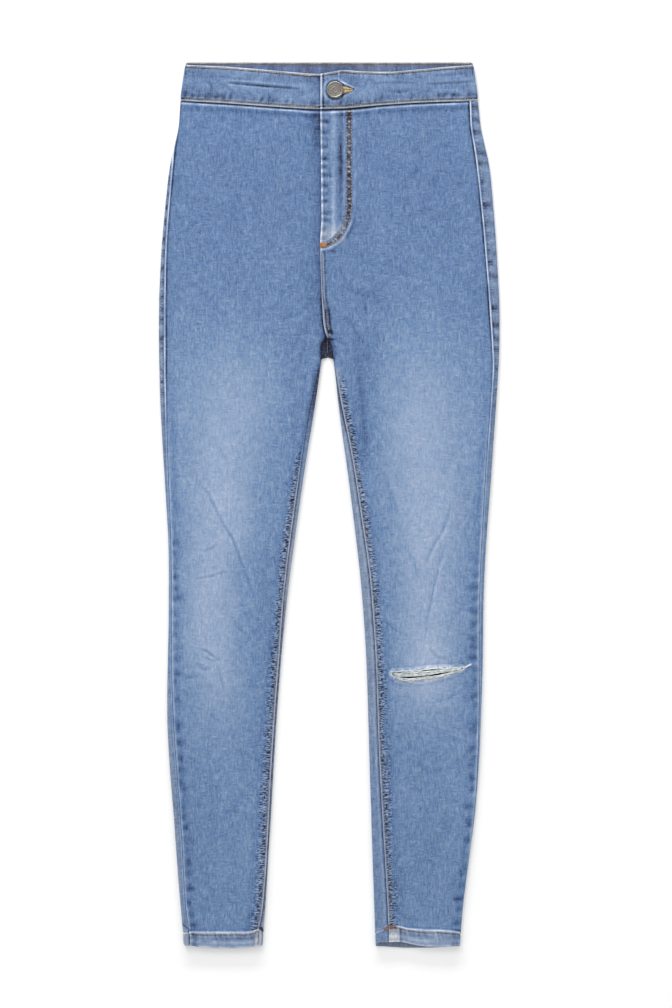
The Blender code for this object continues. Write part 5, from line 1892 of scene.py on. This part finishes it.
THREADS = {
    # darkest and palest colour, and size of its patches in millimetres
    "stitches_band": ((92, 84, 86), (186, 168, 146), 9),
    "stitches_fly": ((92, 80, 104), (192, 180, 190), 4),
    "stitches_crotch": ((92, 98, 114), (150, 158, 174), 5),
    "stitches_inseams": ((72, 72, 98), (170, 172, 192), 5),
    "stitches_hems": ((84, 80, 96), (158, 150, 152), 7),
    "stitches_back_band": ((104, 96, 88), (164, 152, 138), 12),
    "centre_back": ((84, 86, 98), (122, 122, 130), 3),
    "bartack": ((128, 84, 58), (206, 146, 96), 1.6),
    "buttonhole_edge": ((136, 108, 70), (222, 196, 140), 1.6),
    "rip_weft": ((176, 186, 190), (234, 238, 237), 5),
    "rip_ends": ((150, 172, 194), (216, 226, 232), 4),
    "hem_crossing": ((84, 64, 62), (164, 118, 86), 2),
    "stitches_gold": ((156, 128, 92), (206, 182, 138), 4),
}
print(len(THREADS), "thread colours")

# %% [markdown]
# ## Dress the pieces
# Each shell takes the place of its CAD node and gets its material, and it keeps the flat size of its
# cut. The threads ride along as pieces.

# %% Materials and cloth
FINISH = {
    "front_right": (denim_outside, "denim"),
    "front_left": (denim_outside, "denim"),
    "back_right": (denim_outside, "denim"),
    "back_left": (denim_outside, "denim"),
    "waistband_front_right": (denim_band, "denim_band"),
    "waistband_front_left": (denim_band, "denim_band"),
    "waistband_back": (denim_inside, "denim_inside"),
}
for node, piece in cloth.items():
    finish, slot = FINISH[node]
    piece.data.materials.append(finish)
    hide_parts(node)
for name, piece in threads.items():
    dark, light, patch = THREADS[name]
    piece.data.materials.append(thread_material("thread_" + name, dark, light, patch))
button.data.materials.append(brass_material())
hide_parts("button")
zip_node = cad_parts["zip"]
zip_node.data.materials.clear()
zip_node.data.materials.append(tape_material())

# %% [markdown]
# ## Floor, light and camera
# The photograph looks straight down at cloth on white paper, in soft light from all round with a little
# more from the waist end. A bright world does most of it, so the paper goes to pure white, and one large
# lamp gives the creases a light side and a dark side.

# %% Set the floor and the world
WORLD_STRENGTH, PAPER_GLOW = 0.70, 0.10


def floor_material():
    nodes = Nodes("studio_paper", 0.9)
    nodes.colour(nodes.ramp(nodes.noise(60, 60, 3.0), ((0.2, (249, 249, 249)), (0.8, (252, 252, 252)))))
    nodes.shader.inputs["Specular IOR Level"].default_value = 0.0
    nodes.shader.inputs["Emission Color"].default_value = (1, 1, 1, 1)
    nodes.shader.inputs["Emission Strength"].default_value = PAPER_GLOW
    return nodes.material


corners = [(-3000, -3000, -0.1), (3000, -3000, -0.1), (3000, 4000, -0.1), (-3000, 4000, -0.1)]
floor = add_mesh("floor", corners, [[0, 1, 2, 3]], rides=False)
floor.data.materials.append(floor_material())

world = bpy.data.worlds.new("studio")
world.use_nodes = True
world.node_tree.nodes["Background"].inputs["Color"].default_value = (1, 1, 1, 1)
world.node_tree.nodes["Background"].inputs["Strength"].default_value = WORLD_STRENGTH
bpy.context.scene.world = world
bpy.context.scene.view_settings.view_transform = "Standard"
print("the floor is", round(floor.dimensions.x, 1), "m wide")

# %% Lamps and camera
PICTURE_ROWS, MM_PER_PIXEL = 1008, 1.17
CAMERA_HEIGHT = 3.2
VIEW_HEIGHT = PICTURE_ROWS * MM_PER_PIXEL * MM  # what the picture's height covers on the cloth
SENSOR = 36.0


def lamp(name, place, target, size, power):
    data = bpy.data.lights.new(name, "AREA")
    data.shape, data.energy = "RECTANGLE", power
    data.size, data.size_y = size
    made = bpy.data.objects.new(name, data)
    made.location = place
    made.rotation_euler = (Vector(target) - Vector(place)).to_track_quat("-Z", "Y").to_euler()
    bpy.context.scene.collection.objects.link(made)


lamp("key", (-1.4, 2.9, 2.4), (0, -0.1, 0), (1.4, 1.4), 42.0)
lamp("low", (-0.3, 3.4, 0.85), (0, -0.4, 0), (3.4, 0.4), 122.0)
camera_data = bpy.data.cameras.new("camera")
camera_data.sensor_width = SENSOR
camera_data.lens = SENSOR * CAMERA_HEIGHT / VIEW_HEIGHT
camera = bpy.data.objects.new("camera", camera_data)
camera.location = (0.0079, 0.0012, CAMERA_HEIGHT)
bpy.context.scene.collection.objects.link(camera)
bpy.context.scene.camera = camera
print("lens", round(camera_data.lens, 1), "mm")

# %% [markdown]
# ## Finish

# %% Finish
bpy.context.view_layer.update()
